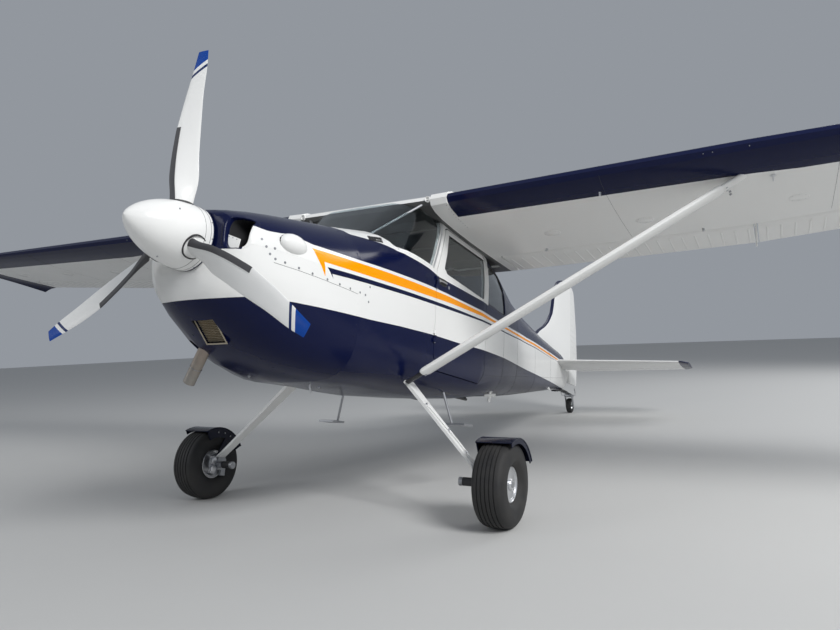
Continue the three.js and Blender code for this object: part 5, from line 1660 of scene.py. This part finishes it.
def girth(item, centre, lean, offset, count=96):
    """A closed path round the pad's edge, met from outside in the pad's own plane."""
    shell = pad_tree(item)
    turn = Matrix.Rotation(lean, 3, "Y")
    within = Vector(centre) + turn @ Vector((0, 0, offset))
    path = []
    for a in angles(count):
        way = turn @ Vector((math.cos(a), math.sin(a), 0))
        hit = shell.ray_cast(within + way * 1.5, -way, 2.0)
        if hit[0] is not None:
            path.append(hit[0] + way * 0.001)
    return path + path[:1]


def channels(item, centre, size, lean, lines):
    """Sewn lines along the pad's face, each a thin cord on the cover."""
    shell = pad_tree(item)
    turn = Matrix.Rotation(lean, 3, "Y")
    parts = []
    for b in lines:
        path = []
        for k in range(30):
            a = -0.44 + 0.88 * k / 29
            start = Vector(centre) + turn @ Vector((a * size[0], b * size[1], size[2] * 2))
            hit = shell.ray_cast(start, turn @ Vector((0, 0, -1)), 2.0)
            if hit[0] is not None:
                path.append(hit[0] - turn @ Vector((0, 0, 0.0008)))
        parts.append(tube(path, 0.0022, 6))
    return parts


PIPING = trim("seat_piping", (0.05, 0.045, 0.04, 1), 0.6)
BACK_LEAN = math.radians(90 - 8.5)
SEAT_PLACES = (("left", 0.045, 0.475, -1.0), ("right", -0.475, -0.045, -1.0), ("rear", -0.430, 0.430, -1.76))
for name, y0, y1, x in SEAT_PLACES:
    y, wide = (y0 + y1) / 2, y1 - y0
    cushion_at, cushion_size = (x - 0.235, y, FLOOR_Z + 0.240), (0.440, wide - 0.02, 0.135)
    back_at, back_size = (x - 0.487, y, FLOOR_Z + 0.610), (0.560, wide - 0.03, 0.082)
    # the back's own upward side faces forward once it is leant
    cushion = seat_pad(f"seat_{name}_cushion", cushion_at, cushion_size, 0.0, 0.22)
    back = seat_pad(f"seat_{name}_back", back_at, back_size, BACK_LEAN, 0.24)
    for item in (cushion, back):
        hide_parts(f"seat_{name}")
    shares = (-0.25, 0.0, 0.25) if name != "rear" else (-0.375, -0.25, -0.125, 0.0, 0.125, 0.25, 0.375)
    pads = ((cushion, cushion_at, cushion_size, 0.0), (back, back_at, back_size, BACK_LEAN))
    sewn = [line for pad in pads for line in channels(*pad, shares)]
    for item, at, size, lean in pads:
        for offset in (-0.28, 0.28):
            sewn.append(tube(girth(item, at, lean, size[2] * offset), 0.0032, 6))
    piece(f"seat_{name}_piping", "airframe", PIPING, sewn, slot="seat_fabric", smooth=70)
    # frame: two runners, four legs, side rails and the uprights behind the back
    tubes = []
    inset, foot_z = (0.20, FLOOR_Z + 0.040) if name == "rear" else (0.045, FLOOR_Z + 0.018)
    for edge in (y0 + inset, y1 - inset):
        tubes.append(tube([(x - 0.03, edge, foot_z), (x - 0.40, edge, foot_z)], 0.012, 12))
        tubes.append(tube([(x - 0.06, edge, foot_z), (x - 0.10, edge, FLOOR_Z + 0.160)], 0.011, 12))
        tubes.append(tube([(x - 0.38, edge, foot_z), (x - 0.34, edge, FLOOR_Z + 0.160)], 0.011, 12))
        tubes.append(tube(arc([(x - 0.03, edge, FLOOR_Z + 0.162), (x - 0.30, edge, FLOOR_Z + 0.162),
                               (x - 0.455, edge, FLOOR_Z + 0.20), (x - 0.545, edge, FLOOR_Z + 0.60),
                               (x - 0.575, edge, FLOOR_Z + 0.86)], 6), 0.0115, 12))
    for at in ((x - 0.05, 0.162), (x - 0.40, 0.175), (x - 0.570, 0.84)):
        tubes.append(tube([(at[0], y0 + 0.045, FLOOR_Z + at[1]), (at[0], y1 - 0.045, FLOOR_Z + at[1])],
                          0.0105, 12))
    piece(f"seat_{name}_frame", "airframe", ENGINE, tubes, smooth=50)
    # lap strap with its buckle, laid over the cushion
    shell = pad_tree(cushion)
    straps, buckles = [], []
    seats = (y,) if name != "rear" else (-0.215, 0.215)
    for mid in seats:
        marks = []
        for k in range(25):
            across = mid - 0.19 + 0.38 * k / 24
            hit = shell.ray_cast(Vector((x - 0.33, across, 1.0)), Vector((0, 0, -1)), 3.0)
            if hit[0] is not None:
                marks.append(hit[0])
        band = ((0.024, 0.0005), (0.023, 0.0022), (-0.023, 0.0022), (-0.024, 0.0005))
        straps.append(skin([[p + Vector((dx, 0, dz)) for dx, dz in band] for p in marks]))
        p = marks[len(marks) // 2]
        buckles.append(block(p + Vector((-0.030, -0.028, 0.001)), p + Vector((0.030, 0.028, 0.011))))
        buckles.append(block(p + Vector((-0.022, -0.020, 0.010)), p + Vector((0.022, 0.012, 0.015))))
    piece(f"seat_{name}_strap", "airframe", trim(f"strap_{name}", (0.03, 0.03, 0.034, 1), 0.8), straps,
          slot="trim_black")
    piece(f"seat_{name}_buckle", "airframe", STEEL, buckles, bevel=0.002)

# Instrument panel: dials with bezels, ticks and needles, radios, knobs and switches
PANEL_X = -0.520
facing_aft = Vector((-1, 0, 0))
bezels, faces, ticks = [], [], []
DIALS = [(0.36, 0.225, 0.040), (0.26, 0.225, 0.040), (0.16, 0.225, 0.040), (0.36, 0.125, 0.040),
         (0.26, 0.125, 0.040), (0.16, 0.125, 0.040), (0.435, 0.175, 0.026), (-0.28, 0.225, 0.028),
         (-0.35, 0.225, 0.028), (-0.28, 0.150, 0.028), (-0.35, 0.150, 0.028), (-0.42, 0.19, 0.024)]
for k, (y, z, r) in enumerate(DIALS):
    at = Vector((PANEL_X, y, z))
    bezels.append(lathe(at, facing_aft, [(-0.001, r), (0.004, r), (0.007, r * 0.94), (0.007, r * 0.86),
                                         (0.003, r * 0.84), (0.002, r * 0.84), (0.002, 0.0)], 40))
    faces.append(lathe(at, facing_aft, [(0.0022, 0.0), (0.0022, r * 0.83), (0.0030, r * 0.83),
                                        (0.0030, 0.0)], 32))
    for j in range(12):
        a = j * math.tau / 12
        way, across = Vector((0, math.sin(a), math.cos(a))), Vector((0, math.cos(a), -math.sin(a)))
        p = at + facing_aft * 0.0031
        inner, outer, half = r * (0.62 if j % 3 else 0.54), r * 0.76, r * 0.022
        ticks.append(plate([p + way * inner - across * half, p + way * outer - across * half,
                            p + way * outer + across * half, p + way * inner + across * half], facing_aft,
                           0.0006))
    a = 0.7 + k * 1.9
    way, across = Vector((0, math.sin(a), math.cos(a))), Vector((0, math.cos(a), -math.sin(a)))
    p = at + facing_aft * 0.0034
    ticks.append(plate([p - way * r * 0.18 - across * r * 0.03, p + way * r * 0.62,
                        p - way * r * 0.18 + across * r * 0.03], facing_aft, 0.0008))
    ticks.append(lathe(p, facing_aft, [(0.0, r * 0.09), (0.0014, r * 0.09), (0.0016, 0.0)], 14))
piece("panel_bezels", "airframe", BLACK, bezels, smooth=40)
piece("panel_dial_faces", "airframe", trim("dial_face", (0.012, 0.012, 0.014, 1), 0.5), faces,
      slot="trim_black")
piece("panel_dial_marks", "airframe", trim("dial_marks", (0.75, 0.75, 0.70, 1), 0.6), ticks,
      slot="white_paint")
boxes, knobs = [], []
for z0, z1 in ((0.245, 0.285), (0.195, 0.240), (0.150, 0.190), (0.100, 0.145)):
    boxes.append(block((PANEL_X - 0.010, -0.085, z0), (PANEL_X + 0.002, 0.085, z1)))
    for y in (-0.070, 0.070):
        knobs.append(lathe((PANEL_X - 0.010, y, (z0 + z1) / 2), facing_aft,
                           [(0, 0.010), (0.012, 0.009), (0.014, 0.006), (0.014, 0)], 20))
    for j in range(5):
        y = -0.040 + 0.020 * j
        boxes.append(block((PANEL_X - 0.013, y - 0.006, z0 + 0.005),
                           (PANEL_X - 0.009, y + 0.006, z0 + 0.012)))
piece("panel_radios", "airframe", trim("radio_black", (0.02, 0.02, 0.022, 1), 0.4), boxes,
      slot="trim_black", bevel=0.0012)
for y, z, long, r in ((-0.02, 0.060, 0.075, 0.016), (0.055, 0.060, 0.060, 0.014),
                      (-0.095, 0.060, 0.065, 0.015), (0.13, 0.055, 0.030, 0.010)):
    knobs.append(tube([(PANEL_X + 0.004, y, z), (PANEL_X - long, y, z)], 0.0045, 10))
    knobs.append(lathe((PANEL_X - long, y, z), facing_aft, [(-0.004, r * 0.6), (0.0, r), (0.012, r),
                                                            (0.018, r * 0.6), (0.018, 0)], 24))
for j in range(8):
    y = 0.20 + 0.028 * j
    knobs.append(lathe((PANEL_X, y, 0.060), facing_aft, [(0, 0.006), (0.004, 0.006), (0.005, 0.003),
                                                         (0.018, 0.0035), (0.019, 0)], 12))
piece("panel_knobs", "airframe", BLACK, knobs, smooth=45)

# Control wheels on their shafts, rudder pedals and the panel's rolled edge
yokes, shafts, pedals = [], [], []
for y in (0.26, -0.26):
    shafts.append(tube([(PANEL_X + 0.004, y, 0.075), (PANEL_X - 0.190, y, 0.075)], 0.0125, 16))
    at = Vector((PANEL_X - 0.190, y, 0.075))
    yokes.append(lathe(at, facing_aft, [(-0.012, 0.0), (-0.012, 0.028), (0.010, 0.034), (0.020, 0.030),
                                        (0.022, 0.0)], 28))
    for turn in (1, -1):
        horn = arc([at + Vector((0, turn * 0.02, 0)), at + Vector((0, turn * 0.085, -0.012)),
                    at + Vector((-0.006, turn * 0.130, 0.020)), at + Vector((-0.012, turn * 0.140, 0.070)),
                    at + Vector((-0.012, turn * 0.128, 0.105))], 8)
        yokes.append(tube(horn, [0.010] * 6 + [0.0125] * (len(horn) - 8) + [0.013, 0.009], 14))
        base = Vector((-0.385, y + turn * 0.075, FLOOR_Z + 0.02))
        pedals.append(tube([base, base + Vector((-0.01, 0, 0.135))], 0.008, 10))
        pedals.append(block(base + Vector((-0.026, -0.042, 0.095)), base + Vector((-0.012, 0.042, 0.180))))
        for j in range(4):
            pedals.append(block(base + Vector((-0.030, -0.038, 0.105 + 0.018 * j)),
                                base + Vector((-0.025, 0.038, 0.111 + 0.018 * j))))
piece("control_shafts", "airframe", STEEL, shafts)
piece("control_wheels", "airframe", BLACK, yokes, smooth=50)
piece("rudder_pedals", "airframe", ENGINE, pedals, bevel=0.002)
piece("panel_edge", "airframe", BLACK,
      [tube([(PANEL_X - 0.002, -0.438, 0.318), (PANEL_X - 0.002, 0.438, 0.318)], 0.013, 12)])

# Headliner bows and the ribbed floor mat
bows = []
for x in (-1.10, -1.42, -1.74, -2.02):
    marks = [land(["cabin_roof"], (x, -0.50 + 1.0 * k / 24, 0.45), (0, 0, 1), 1.0) for k in range(25)]
    marks = [m for m in marks if m]
    if len(marks) > 4:
        bows.append(strip(marks, 0.022, 0.005))
if bows:
    piece("headliner_bows", "airframe", trim("headliner", (0.13, 0.13, 0.125, 1), 0.9), bows,
          slot="seat_fabric")
ribs = []
for k in range(27):
    y = -0.39 + 0.03 * k
    hit = land(["cabin_floor"], (-0.80, y, 0.0), (0, 0, -1))
    if hit:
        ribs.append(block((-0.98, y - 0.004, hit[0].z - 0.001), (-0.56, y + 0.004, hit[0].z + 0.003)))
piece("floor_mat_ribs", "airframe", BLACK, ribs)

# Stage
def stage():
    """Floor, sky light and three soft lamps."""
    floor = bpy.data.meshes.new("floor")
    size = 60.0
    floor.from_pydata([(-size, -size, 0), (size, -size, 0), (size, size, 0), (-size, size, 0)], [],
                      [(0, 1, 2, 3)])
    floor_object = bpy.data.objects.new("floor", floor)
    bpy.context.scene.collection.objects.link(floor_object)
    n = Nodes("floor")
    speck = n.noise(3.0, 3.0)
    n.set(Base_Color=n.mix(n.spread(speck, 0.3, 0.7, 0.0, 0.06), (0.52, 0.52, 0.51, 1),
                           (0.46, 0.46, 0.45, 1)), Roughness=0.75)
    floor.materials.append(n.material)
    world = bpy.data.worlds.new("studio")
    bpy.context.scene.world = world
    world.use_nodes = True
    world.node_tree.nodes["Background"].inputs[0].default_value = (0.80, 0.86, 0.95, 1)
    world.node_tree.nodes["Background"].inputs[1].default_value = 0.36
    # place, aim, size, power
    lamps = (((7, 11, 9), (0, 0, 1), 5, 1750), ((9, -7, 6), (1, 0, 1), 5, 220),
             ((-10, 7, 8), (-2, 0, 1), 6, 560))
    for k, (place, aim, size, power) in enumerate(lamps):
        data = bpy.data.lights.new(f"lamp_{k}", "AREA")
        data.size, data.energy = size, power
        lamp = bpy.data.objects.new(f"lamp_{k}", data)
        bpy.context.scene.collection.objects.link(lamp)
        lamp.location = place
        lamp.rotation_euler = (Vector(aim) - Vector(place)).to_track_quat("-Z", "Y").to_euler()


stage()
bpy.context.scene.view_settings.view_transform = "Standard"
